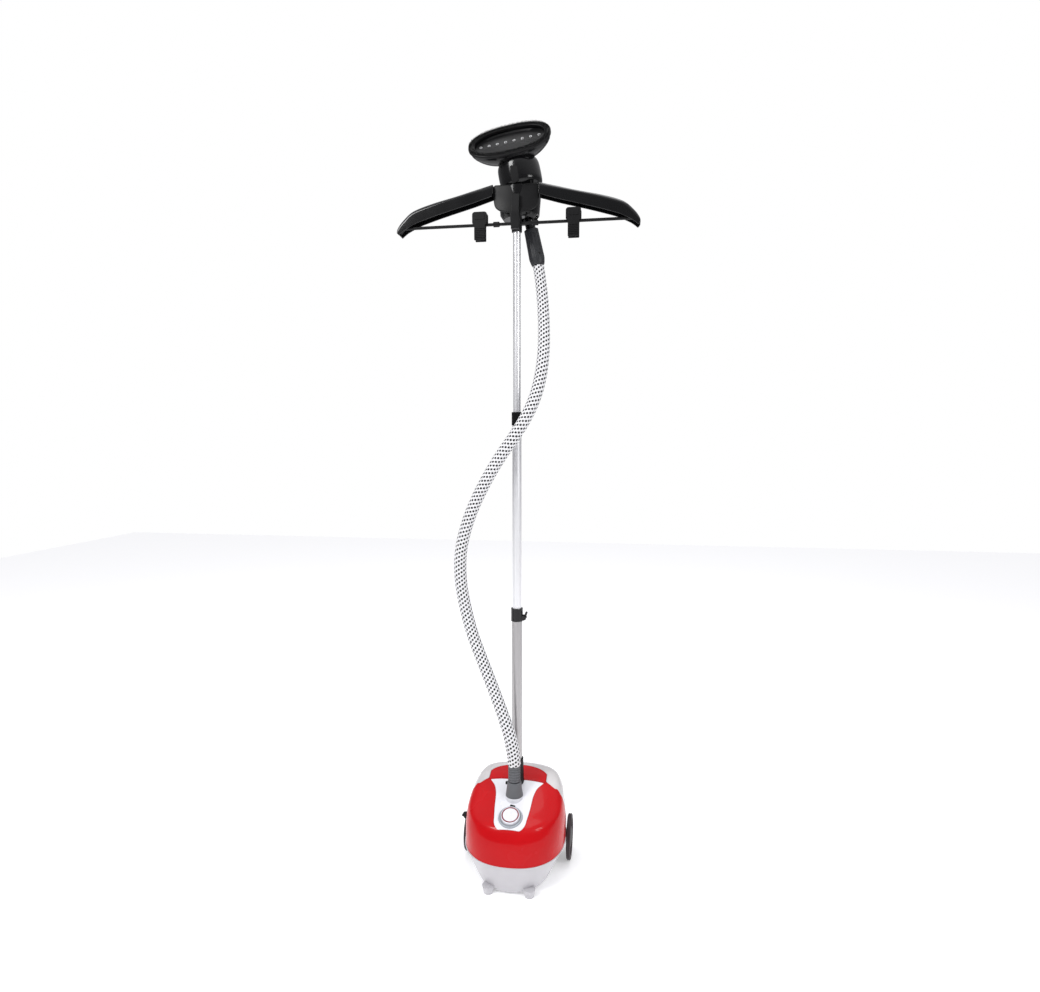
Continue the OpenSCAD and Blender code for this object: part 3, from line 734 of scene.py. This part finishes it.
def slab(name, outline, low, high, plane="z"):
    # an outline in millimetres drawn out between two levels; plane names the direction it is drawn out in
    def spot(a, b, level):
        if plane == "z":
            return (a * mm, b * mm, level * mm)
        if plane == "y":
            return (a * mm, level * mm, b * mm)
        return (level * mm, a * mm, b * mm)
    count = len(outline)
    vertices = [spot(a, b, low) for a, b in outline] + [spot(a, b, high) for a, b in outline]
    faces = [tuple(range(count))[::-1], tuple(range(count, 2 * count))]
    for k in range(count):
        nxt = (k + 1) % count
        faces.append((k, nxt, count + nxt, count + k))
    piece = newPiece(name, vertices, faces)
    faceOutwards(piece)
    return piece


def combine(piece, other, operation="DIFFERENCE"):
    cut = piece.modifiers.new("cut", "BOOLEAN")
    cut.operation = operation
    cut.object = other
    cut.solver = "EXACT"
    applied(piece)
    bpy.data.objects.remove(other)
    return piece


def onPanel(y):
    # a place on the sloping panel, facing out of it
    slope = math.radians(casing["panelSlope"])
    spot = Vector((0, y * mm, (casing["panelLevel"] + y * math.tan(slope)) * mm))
    return Matrix.Translation(spot) @ Matrix.Rotation(slope, 4, "X")


# plans seen from above, in millimetres

def rearArc(half, mid, rise):
    points = []
    for i in range(33):
        a = math.radians(62 - 3.875 * i)
        edge = math.cos(math.radians(62))
        points.append((half * math.sin(a) / math.sin(math.radians(62)),
                       mid + rise * (math.cos(a) - edge) / (1 - edge)))
    return points


def frontPlan(grow):
    back = 15 + grow
    right = [(140, back - 9), (94, back - 9, 3), (87.5, back - 3.5, 4), (82, back - 8, 4),
             (62 + grow, back, 3)]
    left = [(-x, *rest) for x, *rest in reversed(right)]
    outline = [(-140, -150), (140, -150)] + right + rearArc(62 + grow, 36, 28 + grow) + left
    return smoothOutline(outline)


def panelPlan(grow):
    side = [(58 + grow, 10 + grow, 2.5), (45 + grow, -6, 8), (39.5 + grow, -25, 12), (36.5 + grow, -60, 12)]
    for i in range(13):
        a = math.radians(-7.5 * i)
        side.append((19 + (14 + grow) * math.cos(a), -84 + (20 + grow) * math.sin(a)))
    other = [(-x, *rest) for x, *rest in reversed(side)]
    return smoothOutline(side + other)


def stripPlan(shrink):
    outline = [(62 - shrink, 12 + shrink, 2)] + rearArc(62 - shrink, 36 - shrink,
                                                        28) + [(-62 + shrink, 12 + shrink, 2)]
    return smoothOutline(outline)


def hollowCasing(name):
    solid = casingSolid(name, casing["upper"])
    room = casingSolid("room", [(r[0] - (2 if i == 0 else 0), *r[1:]) for i,
                                r in enumerate(casing["upper"])],
                       casing["wall"], 1.8)
    return combine(solid, room)


def roundHole(piece, x, y, radius, low=0, high=300):
    drill = lathe("drill", [(0.0001, low * mm), (radius * mm, low * mm), (radius * mm, high * mm),
                            (0.0001, high * mm)])
    place(drill, Matrix.Translation((x * mm, y * mm, 0)))
    return combine(piece, drill)


def makeCasing():
    whole = hollowCasing("wholeCasing")
    roundHole(whole, 0, poleY * 1000, 15.4, 100)
    plans = [
        ("redCasing", "upper_shell", frontPlan(0.0), [panelPlan(0.45), stripPlan(-0.35)],
         plastics["redShell"]),
        ("redStrip", "rear_strip", stripPlan(0.35), [], plastics["redShell"]),
        ("whitePanel", "control_panel", panelPlan(-0.1), [], plastics["whitePanel"]),
    ]
    for name, node, plan, gaps, material in plans:
        piece = addObject(name, whole.data.copy())
        combine(piece, slab("plan", plan, 60, 260), "INTERSECT")
        for gap in gaps:
            combine(piece, slab("gap", gap, 100, 260))
        if node == "control_panel":
            roundHole(piece, 0, -29, 18.2, 120)
        bevelEdges(piece, 0.0008, 40, 3)
        finishPiece(piece, material, node)
    bpy.data.objects.remove(whole)


def makeTank():
    # a closed shell behind the red casing, with a neck under its floor for the cap
    wall = casing["wall"]
    wide = [(-200, -200), (200, -200), (200, 200), (-200, 200)]
    tank = casingSolid("smokedTankShell", casing["upper"])
    combine(tank, slab("plan", frontPlan(0.5), 50, 260))
    combine(tank, slab("low", wide, 50, 68.4))
    room = casingSolid("room", casing["upper"], wall, 1.8)
    combine(room, slab("plan", frontPlan(0.5 + wall), 50, 260))
    combine(room, slab("low", wide, 50, 68.4 + wall))
    combine(tank, room)
    roundHole(tank, 30, 80, 10, 50, 75)
    applied(bevelEdges(tank, 0.0007, 40, 3))
    neck = lathe("neck", [(0.010, 0.0562), (0.0125, 0.0562, 0.0004), (0.0125, 0.0688), (0.010, 0.0688)],
                 72, closed=True)
    place(neck, Matrix.Translation((0.030, 0.080, 0)))
    joinInto(tank, [neck])
    finishPiece(tank, tankMaterial, "water_tank")


def makePan():
    rings = smoothRings(casing["lower"], 26)
    loops = [casingLoop(r) for r in rings]
    # the underside rolls in, and a bead runs round the rim under the seam
    under = []
    for inset, z in ((9.0, 5.0), (5.0, 5.05), (2.4, 5.6), (0.9, 6.8)):
        under.append(casingLoop((z, *rings[0][1:]), inset))
    loops = under + [loop for loop, r in zip(loops, rings) if 8.5 < r[0] < 64.5]
    last = rings[-1]
    for out, z in ((-0.1, 64.8), (0.9, 65.3), (1.5, 66.2), (1.5, 67.3), (0.9, 68.0), (-2.5, 68.05)):
        loops.append(casingLoop((z, *last[1:]), -out))
    for inset, z in ((2.6, 66.0), (2.6, 40.0)):
        ring = last if z > 50 else rings[len(rings) // 2]
        loops.append(casingLoop((z, *ring[1:]), inset))
    loops.append(casingLoop((8.0, *rings[0][1:]), 3))
    pan = loftPiece("paleSeatedPan", loops)
    faceOutwards(pan)
    pan.data.shade_smooth()
    finishPiece(pan, plastics["pan"], "lower_shell")


# control knob, its bezel and the pointer mark

knob = {"y": -79, "pointerBehind": 25.0}


def makeKnob():
    cap = lathe("dialCap", [(0.0001, 0.0094), (0.0132, 0.0097), (0.0152, 0.0097, 0.0004), (0.0153, 0.0086),
                            (0.0177, 0.0086), (0.0178, 0.0096, 0.0003), (0.0189, 0.0096, 0.0009),
                            (0.0194, 0.0085, 0.0008), (0.0197, 0.0020, 0.0003), (0.0188, 0.0018),
                            (0.0001, 0.0018)], 96)
    place(cap, onPanel(knob["y"]))
    finishPiece(cap, plastics["whitePanel"], "knob")
    ring = lathe("dialRing", [(0.0154, 0.0086), (0.0154, 0.0099, 0.0004), (0.0176, 0.0099, 0.0004),
                              (0.0176, 0.0086)],
                 96, closed=True)
    place(ring, onPanel(knob["y"]))
    finishPiece(ring, plastics["knobRed"], "knob_ring")
    bezel = lathe("dialBezel", [(0.0206, 0.0010), (0.0206, 0.0042, 0.0004), (0.0214, 0.0048, 0.0004),
                                (0.0219, 0.0036, 0.0003), (0.0229, 0.0036, 0.0003),
                                (0.0231, 0.0044, 0.0003),
                                (0.0241, 0.0042, 0.0005), (0.0249, 0.0022, 0.0004), (0.0250, 0.0010)],
                  96, closed=True)
    place(bezel, onPanel(knob["y"]))
    finishPiece(bezel, plastics["paleGrey"], "knob_bezel")
    flag = slab("pointerFlag", smoothOutline([(-5.5, -3.6, 1), (-2.5, -5.5, 0.6), (-1.0, -1.5, 0.6),
                                              (5.5, -2.2, 1.5),
                                              (6.0, 1.8, 1.5), (-4.5, 4.2, 1)]), 0.3, 1.3)
    place(flag, onPanel(knob["y"] + knob["pointerBehind"]))
    bevelEdges(flag, 0.0002)
    flag.data.materials.append(plastics["blackMatt"])
    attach(flag, "base")


# hose socket and ribbed cuff

hosePort = {"y": -29, "ribs": 6, "pitch": 5.7}


def makeHosePort():
    spot = Matrix.Translation((0, hosePort["y"] * mm, 0))
    collar = lathe("socketCollar", [(0.0092, 0.152), (0.0180, 0.152), (0.0188, 0.1600),
                                    (0.0187, 0.1690, 0.0006),
                                    (0.0178, 0.1696, 0.0004), (0.0092, 0.1696)], 96, closed=True)
    place(collar, spot)
    finishPiece(collar, plastics["whitePanel"], "hose_socket", False)
    cone = lathe("socketCone", [(0.0092, 0.1698), (0.0182, 0.1698), (0.0183, 0.1712, 0.0006),
                                (0.0158, 0.186, 0.005),
                                (0.0149, 0.1975, 0.001),
                                (0.0140, 0.2000, 0.0012), (0.0116, 0.2002, 0.0006), (0.0110, 0.1970),
                                (0.0092, 0.1960)],
                 96, closed=True)
    place(cone, spot)
    finishPiece(cone, plastics["grey"], "hose_socket")
    outline = [(0.0070, 0.1865), (0.0090, 0.1865, 0.0005), (0.0091, 0.2000), (0.0116, 0.2005)]
    for i in range(hosePort["ribs"]):
        z = 0.2018 + i * hosePort["pitch"] * mm
        outline += [(0.0114, z), (0.0129, z + 0.0004, 0.0007), (0.0130, z + 0.0030, 0.0007),
                    (0.0114, z + 0.0036)]
    outline += [(0.0114, 0.2358), (0.0106, 0.2362, 0.0005), (0.0070, 0.2360)]
    cuff = lathe("ribbedCuff", outline, 96, closed=True)
    place(cuff, spot)
    finishPiece(cuff, plastics["grey"], "hose_cuff")


# wheels

wheel = {"radius": 46.5, "y": 39, "inner": 107, "ribs": 10}


def makeWheel(side, node):
    r = wheel["radius"] * mm
    outline = [(0.00406, 0.0), (0.0160, 0.0, 0.0006), (0.0161, 0.0010), (r - 0.0090, 0.0010),
               (r - 0.0088, 0.0002, 0.0004), (r - 0.0024, 0.0, 0.001), (r, 0.0022, 0.0014),
               (r, 0.0034, 0.0002),
               (r - 0.0006, 0.0040, 0.0002), (r - 0.0006, 0.0054, 0.0002), (r, 0.0060, 0.0002),
               (r, 0.0074, 0.0014),
               (r - 0.0024, 0.0095, 0.001), (r - 0.0088, 0.0093, 0.0006), (r - 0.0094, 0.0044, 0.001),
               (0.0212, 0.0042, 0.0006), (0.0209, 0.0080, 0.0004), (0.0181, 0.0080, 0.0004),
               (0.0180, 0.0042),
               (0.00406, 0.0042)]
    piece = lathe(node + "Rim", outline, 120, closed=True)
    ribs = []
    for i in range(wheel["ribs"]):
        rib = slab("rib", smoothOutline([(20.6, -1.5), (37.8, -1.1), (37.8, 1.1), (20.6, 1.5)]), 3.9, 6.8)
        place(rib, Matrix.Rotation(2 * math.pi * i / wheel["ribs"], 4, "Z"))
        ribs.append(rib)
    joinInto(piece, ribs)
    turn = turned(90 * side, "Y")
    spot = Matrix.Translation((side * wheel["inner"] * mm, wheel["y"] * mm, r))
    place(piece, spot @ turn)
    bevelEdges(piece, 0.0003, 50, 2)
    finishPiece(piece, plastics["wheelTread"], node)


def joinInto(piece, others):
    bm = bmesh.new()
    bm.from_mesh(piece.data)
    for other in others:
        bm.from_mesh(other.data)
        bpy.data.objects.remove(other)
    bm.to_mesh(piece.data)
    bm.free()
    piece.data.shade_smooth()


# hanger: hub, hollow arms and clips

hanger = {
    "plateFront": -14.0,
    "depth": 27.0,
    "top": [(46.2, 1420), (84, 1410.5), (120, 1401), (168, 1390), (200, 1380.5), (218, 1371.5), (234, 1356),
            (243, 1342.5), (244.6, 1334)],
    "bottom": [(46.2, 1396), (68, 1389.5), (90, 1383), (150, 1367), (200, 1352), (215, 1345), (226, 1339.5),
               (234, 1334), (240, 1329)],
    "wall": 2.5,
    "shoulder": 9.0,
    "leftClip": -72, "rightClip": 115,
}


def curveThrough(points, count):
    out = splineThrough(np.array(points, float), 12)
    marks = np.linspace(0, 1, len(out))
    wanted = np.linspace(0, 1, count)
    return np.stack([np.interp(wanted, marks, out[:, k]) for k in range(out.shape[1])], axis=1)


def makeArm(side, node):
    stations = 60
    top = curveThrough(hanger["top"], stations)
    bottom = curveThrough(hanger["bottom"], stations)
    front, back = hanger["plateFront"], hanger["plateFront"] + hanger["depth"]
    wall = hanger["wall"]
    loops = []
    for (tx, tz), (bx, bz) in zip(top, bottom):
        up = np.array([tx - bx, tz - bz])
        tall = np.linalg.norm(up)
        up /= tall
        ease = min(1.0, tall / 22)
        corner = hanger["shoulder"] * ease
        skin = min(wall, tall * 0.3)
        section = [(front, 0), (front + 0.1, tall - corner)]
        for k in range(1, 7):
            a = math.radians(90 * k / 6)
            section.append((front + corner * (1 - math.cos(a)), tall - corner + corner * math.sin(a)))
        for k in range(6):
            a = math.radians(90 * k / 6)
            section.append((back - corner + corner * math.sin(a), tall - corner + corner * math.cos(a)))
        section += [(back, tall - corner), (back, 0), (back - wall, 0),
                    (back - wall, tall - corner - skin * 0.4)]
        section += [(back - corner, tall - skin), (front + corner, tall - skin),
                    (front + wall, tall - corner - skin * 0.4), (front + wall, 0)]
        loops.append([(side * (bx + up[0] * w), y, bz + up[1] * w) for y, w in section])
    arm = loftPiece(node + "Channel", loops)
    faceOutwards(arm)
    bevelEdges(arm, 0.0009, 35, 3)
    finishPiece(arm, plastics["blackGloss"], node)


def makeHub():
    outline = [(45, 1419, 4), (46.2, 1396, 8), (43, 1376, 14), (30, 1366.5, 10), (12.5, 1364, 4),
               (9.8, 1352, 6),
               (8.8, 1330.5, 2)]
    outline = outline + [(-x, *rest) for x, *rest in reversed(outline)]
    shield = slab("hubShield", smoothOutline(outline), hanger["plateFront"], hanger["plateFront"] + 6, "y")
    applied(bevelEdges(shield, 0.0022, 40, 5))
    # the shield is crowned, so that its sides turn back round the cup
    for v in shield.data.vertices:
        v.co.y += 0.010 * (abs(v.co.x) / 0.046) ** 2.2
    shield.data.update()
    finishPiece(shield, plastics["blackMatt"], "hanger_hub", False)
    keel = slab("hubKeel", smoothOutline([(-18.6, 1331, 1.5), (-18.0, 1366, 6), (-12.5, 1399, 5),
                                          (-9, 1399), (-9, 1331)]),
                -8.2, 8.2, "x")
    bevelEdges(keel, 0.0022, 40, 5)
    finishPiece(keel, plastics["blackMatt"], "hanger_hub", False)
    ferrule = lathe("hubFerrule", [(0.0082, 1.3300), (0.0100, 1.3300, 0.0006), (0.0104, 1.3320),
                                   (0.0104, 1.3585),
                                   (0.0100, 1.3602, 0.0006), (0.0082, 1.3602)], 96, closed=True)
    place(ferrule, Matrix.Translation((0, poleY, 0)))
    finishPiece(ferrule, plastics["blackMatt"], "hanger_hub")


def makeClip(x, node, jawNode):
    bar = Vector((x * mm, (poleY * 1000 - 14) * mm, 1.343))
    look = plastics["blackMatt"]

    def barrel(name, radius, low, high):
        # a sleeve round the bar
        piece = lathe(name, [(0.0032, low), (radius - 0.0003, low), (radius, low + 0.0004, 0.0003),
                             (radius, high - 0.0004, 0.0003), (radius - 0.0003, high), (0.0032, high)],
                      48, closed=True)
        place(piece, Matrix.Translation(bar) @ turned(90, "Y"))
        return piece

    def plate(name, low, high):
        outline = [(-15, 2, 2), (-15, 21, 5), (-11.5, 24, 4), (11.5, 24, 4), (15, 21, 5), (15, 2, 2),
                   (11, -1, 3), (11, -31, 2), (-11, -31, 2), (-11, -1, 3)]
        piece = slab(name, smoothOutline(outline), low, high, "y")
        applied(bevelEdges(piece, 0.0007, 40, 3))
        place(piece, Matrix.Translation(bar))
        return piece

    back = plate(node + "Plate", 4.7, 7.0)
    post = slab("post", [(-4, -4.6), (4, -4.6), (4, 4.6), (-4, 4.6)], 3.0, 5.2, "y")
    place(post, Matrix.Translation(bar))
    joinInto(back, [post, barrel("barrel", 0.0054, -0.004, 0.004)])
    finishPiece(back, look, node)
    front = plate(jawNode + "Plate", -8.4, -5.9)
    bars = []
    for i in range(7):
        z = -29.5 + i * 3.4
        corners = [(-9.8, z, 0.3), (9.8, z, 0.3), (9.8, z + 1.6, 0.3), (-9.8, z + 1.6, 0.3)]
        ridge = slab("ridge", smoothOutline(corners), -9.3, -8.2, "y")
        applied(bevelEdges(ridge, 0.0003, 40, 2))
        place(ridge, Matrix.Translation(bar))
        bars.append(ridge)
    lip = slab("thumbRest", smoothOutline([(-10, 9, 2), (10, 9, 2), (10, 19, 3), (-10, 19, 3)]), -9.2,
               -8.2, "y")
    applied(bevelEdges(lip, 0.0005, 40, 3))
    place(lip, Matrix.Translation(bar))
    for side in (-1, 1):
        near, far = side * 4.7, side * 10.8
        ear = slab("ear", [(near, -3.8), (far, -3.8), (far, 3.8), (near, 3.8)], -6.2, -2.6, "y")
        place(ear, Matrix.Translation(bar))
        ends = sorted((side * 0.0046, side * 0.011))
        bars += [ear, barrel("barrel", 0.0043, *ends)]
    joinInto(front, bars + [lip])
    finishPiece(front, look, jawNode)


# hand-held unit

handheld = {
    "point": (21, 36, 1361), "lean": 12,
    "headMiddle": (-15, 10, 1508), "headPitch": 60, "headLean": 9,
    "headLong": 81, "headShort": 40,
    "headRings": [(-36, 37, 20), (-33.5, 46, 24.5), (-30, 55, 30), (-24, 65, 34.5), (-16, 74, 38),
                  (-10, 79, 39.6), (-6, 81, 40), (0, 81, 40)],
    "neck": [(0.1, -18), (10, -18), (10.5, -4), (13, 10), (18, 22), (24, 33), (29, 44), (32, 54), (36, 61),
             (40.5, 66.5), (42.6, 72), (43.2, 82), (43.2, 94), (42.6, 106), (40.5, 113), (36, 118.5),
             (26, 121.5),
             (12, 122.5), (0.1, 122)],
    "sleeveLow": -92, "sleeveHigh": -20, "sleeveRibs": 12,
    "keyAt": (-0.008, -0.0420, 0.080),
    "steamHoles": 8, "holePitch": 17,
    "tuftRows": ((1.0, 0.5, 150), (-1.6, -1.6, 146), (-4.4, -3.7, 140), (-7.0, -5.8, 134)),
}


def onHand():
    return Matrix.Translation(Vector(handheld["point"]) * mm) @ turned(-handheld["lean"], "Y")


def onHead():
    return (Matrix.Translation(Vector(handheld["headMiddle"]) * mm)
            @ turned(-handheld["headLean"], "Y")
            @ turned(handheld["headPitch"], "X"))


def ovalLoop(z, a, b, steps=144, power=2.35):
    return evenLoop(ringLoop((z, a, -b, b), steps, power))


def makeHead():
    rings = [(z, a, -b, b) for z, a, b in handheld["headRings"]]
    outer = [ovalLoop(z, a, b) for z, a, f, b in smoothRings(rings, 34)]
    inner = [ovalLoop(z, a, b) for z, a, b in ((0, 77, 36), (-5, 77, 36), (-14, 70, 34), (-27, 47, 26))]
    shell = loftPiece("headShell", [ovalLoop(-36.0, 34, 17)] + outer + inner)
    faceOutwards(shell)
    place(shell, onHead())
    bevelEdges(shell, 0.0006, 50, 2)
    finishPiece(shell, plastics["blackGloss"], "head_shell")


def makeBrush():
    # the frame that holds the bristles, and the bristle tufts
    a, b = handheld["headLong"], handheld["headShort"]
    profile = [(0.1, -9.5, -7.8), (0.1, 2.4, 1.9), (1.5, 3.2, 2.6), (4.0, 3.3, 2.6), (5.4, 2.4, 1.8),
               (5.8, 0.0, -0.5),
               (5.8, -6.5, -5.2), (4.8, -9.0, -7.4)]
    loops = [ovalLoop(z, a + da, b + db) for z, da, db in profile]
    loops.append(loops[0])
    frameRing = loftPiece("bristleFrame", loops, closeEnds=False)
    mergeClose(frameRing)
    place(frameRing, onHead())
    bevelEdges(frameRing, 0.0004, 50, 2)
    finishPiece(frameRing, plastics["blackMatt"], "brush_frame")
    vertices, faces = [], []
    rng = np.random.default_rng(7)
    for row, (da, db, count) in enumerate(handheld["tuftRows"]):
        loop = ovalLoop(5.2, a + da, b + db, count)
        for k, point in enumerate(loop):
            lean = rng.normal(0, 0.5, 2)
            tall = 3.6 + rng.uniform(-0.5, 0.4) - 0.25 * row
            loops = []
            for level, size in ((0, 0.75), (0.75, 0.62), (1, 0.25)):
                turns = [2 * math.pi * j / 6 + k for j in range(6)]
                loops.append([(point[0] + size * math.cos(t) + lean[0] * level,
                               point[1] + size * math.sin(t) + lean[1] * level,
                               point[2] + tall * level) for t in turns])
            addPeg(vertices, faces, loops)
    tufts = newPiece("bristleTufts", vertices, faces)
    place(tufts, onHead())
    finishPiece(tufts, plastics["bristle"], "brush_frame", False)


def makeFace():
    # a dished steam plate: eight holes with raised rims over a field of fine studs
    softened("face_plate", plastics["blackMatt"], 0.0003)
    rims = []
    middle = (handheld["steamHoles"] - 1) / 2
    for i in range(handheld["steamHoles"]):
        rim = lathe("rim", [(0.0016, -0.0036), (0.0017, -0.0028, 0.0002), (0.0026, -0.0026, 0.0003),
                            (0.0031, -0.0036)],
                    24, closed=True)
        place(rim, onHead() @ Matrix.Translation(((i - middle) * handheld["holePitch"] * mm, 4 * mm, 0)))
        rims.append(rim)
    joined = rims[0]
    joined.name = "steamRims"
    joinInto(joined, rims[1:])
    finishPiece(joined, metals["plated"], "face_plate", False)
    vertices, faces = [], []
    for row in range(5):
        y = -4.0 - row * 4.2
        half = 58 * math.sqrt(max(0.05, 1 - (abs(y) / 34) ** 2.35))
        count = int(half * 2 / 4.6)
        for k in range(count + 1):
            x = (k - count / 2) * 4.6 + (2.3 if row % 2 else 0) * 0.5
            turns = [2 * math.pi * j / 8 for j in range(8)]
            addPeg(vertices, faces, [[(x + size * math.cos(t), y + size * math.sin(t),
                                       level) for t in turns]
                                     for level, size in ((-3.45, 0.95), (-2.85, 0.75), (-2.5, 0.3))])
    studs = newPiece("steamStuds", vertices, faces)
    place(studs, onHead())
    finishPiece(studs, plastics["blackMatt"], "face_plate", False)


def makeNeck():
    outline = [(r * mm, w * mm) for r, w in curveThrough(handheld["neck"][1:-1], 70)]
    outline = [(0.0001, outline[0][1])] + outline + [(0.0001, outline[-1][1])]
    neck = lathe("neckShell", outline, 128)
    place(neck, onHand())
    rings = [(z, a + 0.1, b + 0.1) for z, a, b in handheld["headRings"]] + [(60, 121, 80)]
    rings[0] = (-36.1, 37.1, 20.1)
    cutter = loftPiece("cutter", [ovalLoop(z, a, b) for z, a, b in rings])
    place(cutter, onHead())
    combine(neck, cutter)
    bevelEdges(neck, 0.0006, 50, 3)
    finishPiece(neck, plastics["blackGloss"], "handle_shell")
    key = slab("steamKey", smoothOutline([(-7, -17, 4), (8, -15, 4), (10, 15, 5), (-5, 19, 5)]), -1.4,
               0.7, "y")
    applied(bevelEdges(key, 0.0008, 40, 3))
    place(key, onHand() @ Matrix.Translation(handheld["keyAt"]))
    finishPiece(key, plastics["blackMatt"], "handle_shell", False)


def makeSleeve():
    # a soft sleeve with lengthwise ribs, drawn in to a tip at its lower end
    steps, rows = 120, 60
    low, high = handheld["sleeveLow"], handheld["sleeveHigh"]
    loops = []
    for i in range(rows + 1):
        w = low + (high - low) * i / rows
        r = 12.6 + 3.4 * min(1, (w - low) / 14) ** 0.7 if w < low + 14 else 16 - 1.5 * (w - low - 14) / 58
        fade = max(0.0, min(1.0, (w - low - 8) / 6)) * max(0.0, min(1.0, (high - 5 - w) / 4))
        loop = []
        for k in range(steps):
            a = 2 * math.pi * k / steps
            ridge = 0.5 + 0.5 * math.cos(handheld["sleeveRibs"] * a)
            size = r - 0.9 * fade * (1 - ridge ** 0.6)
            loop.append((size * math.cos(a), size * math.sin(a), w))
        loops.append(loop)

    def circle(r, w):
        turns = [2 * math.pi * k / steps for k in range(steps)]
        return [(r * math.cos(a), r * math.sin(a), w) for a in turns]

    inner = [circle(10.2, w) for w in (high, high - 10)]
    bottom = [circle(8, w) for w in (low + 6, low)]
    sleeve = loftPiece("ribbedSleeve", bottom + loops + inner)
    mergeClose(sleeve)
    place(sleeve, onHand())
    finishPiece(sleeve, plastics["sleeveGrey"], "hose_sleeve")
    button = lathe("sleevePin", [(0.0001, 0.0008), (0.0022, 0.0008, 0.0006), (0.0026, -0.001),
                                 (0.0001, -0.001)], 32)
    place(button, onHand() @ Matrix.Translation((0.008, -0.0137,
                                                 -0.072)) @ turned(80, "X"))
    finishPiece(button, plastics["blackGloss"], "hose_sleeve", False)


makeCasing()
makeTank()
makePan()
makeKnob()
makeHosePort()
print("casing, pan, knob and hose port ready")
makeWheel(1, "right_wheel")
makeWheel(-1, "left_wheel")
makeArm(1, "right_arm")
makeArm(-1, "left_arm")
makeHub()
makeClip(hanger["leftClip"], "left_clip", "left_clip_jaw")
makeClip(hanger["rightClip"], "right_clip", "right_clip_jaw")
print("wheels and hanger ready")
makeHead()
makeBrush()
makeFace()
makeNeck()
makeSleeve()
print("hand-held unit ready")


# carried-over pieces with softened edges

finishOf = {
    "pan": plastics["pan"], "steel": metals["plated"], "white_panel": plastics["whitePanel"],
    "black_matt": plastics["blackMatt"], "black_gloss": plastics["blackGloss"], "seal": plastics["seal"],
    "cast_alu": metals["castAluminium"], "dark_grey": plastics["darkGrey"], "tube": metals["poleAluminium"],
}
for node in sorted(frame["nodes"]):
    if node in remade:
        continue
    # the lowest tube gets the darker copy of the aluminium, which is painted shade
    look = metals["shadedPoleAluminium"] if node == "lower_tube" else finishOf[slotOf[node]]
    softened(node, look)
print("softened pieces ready")
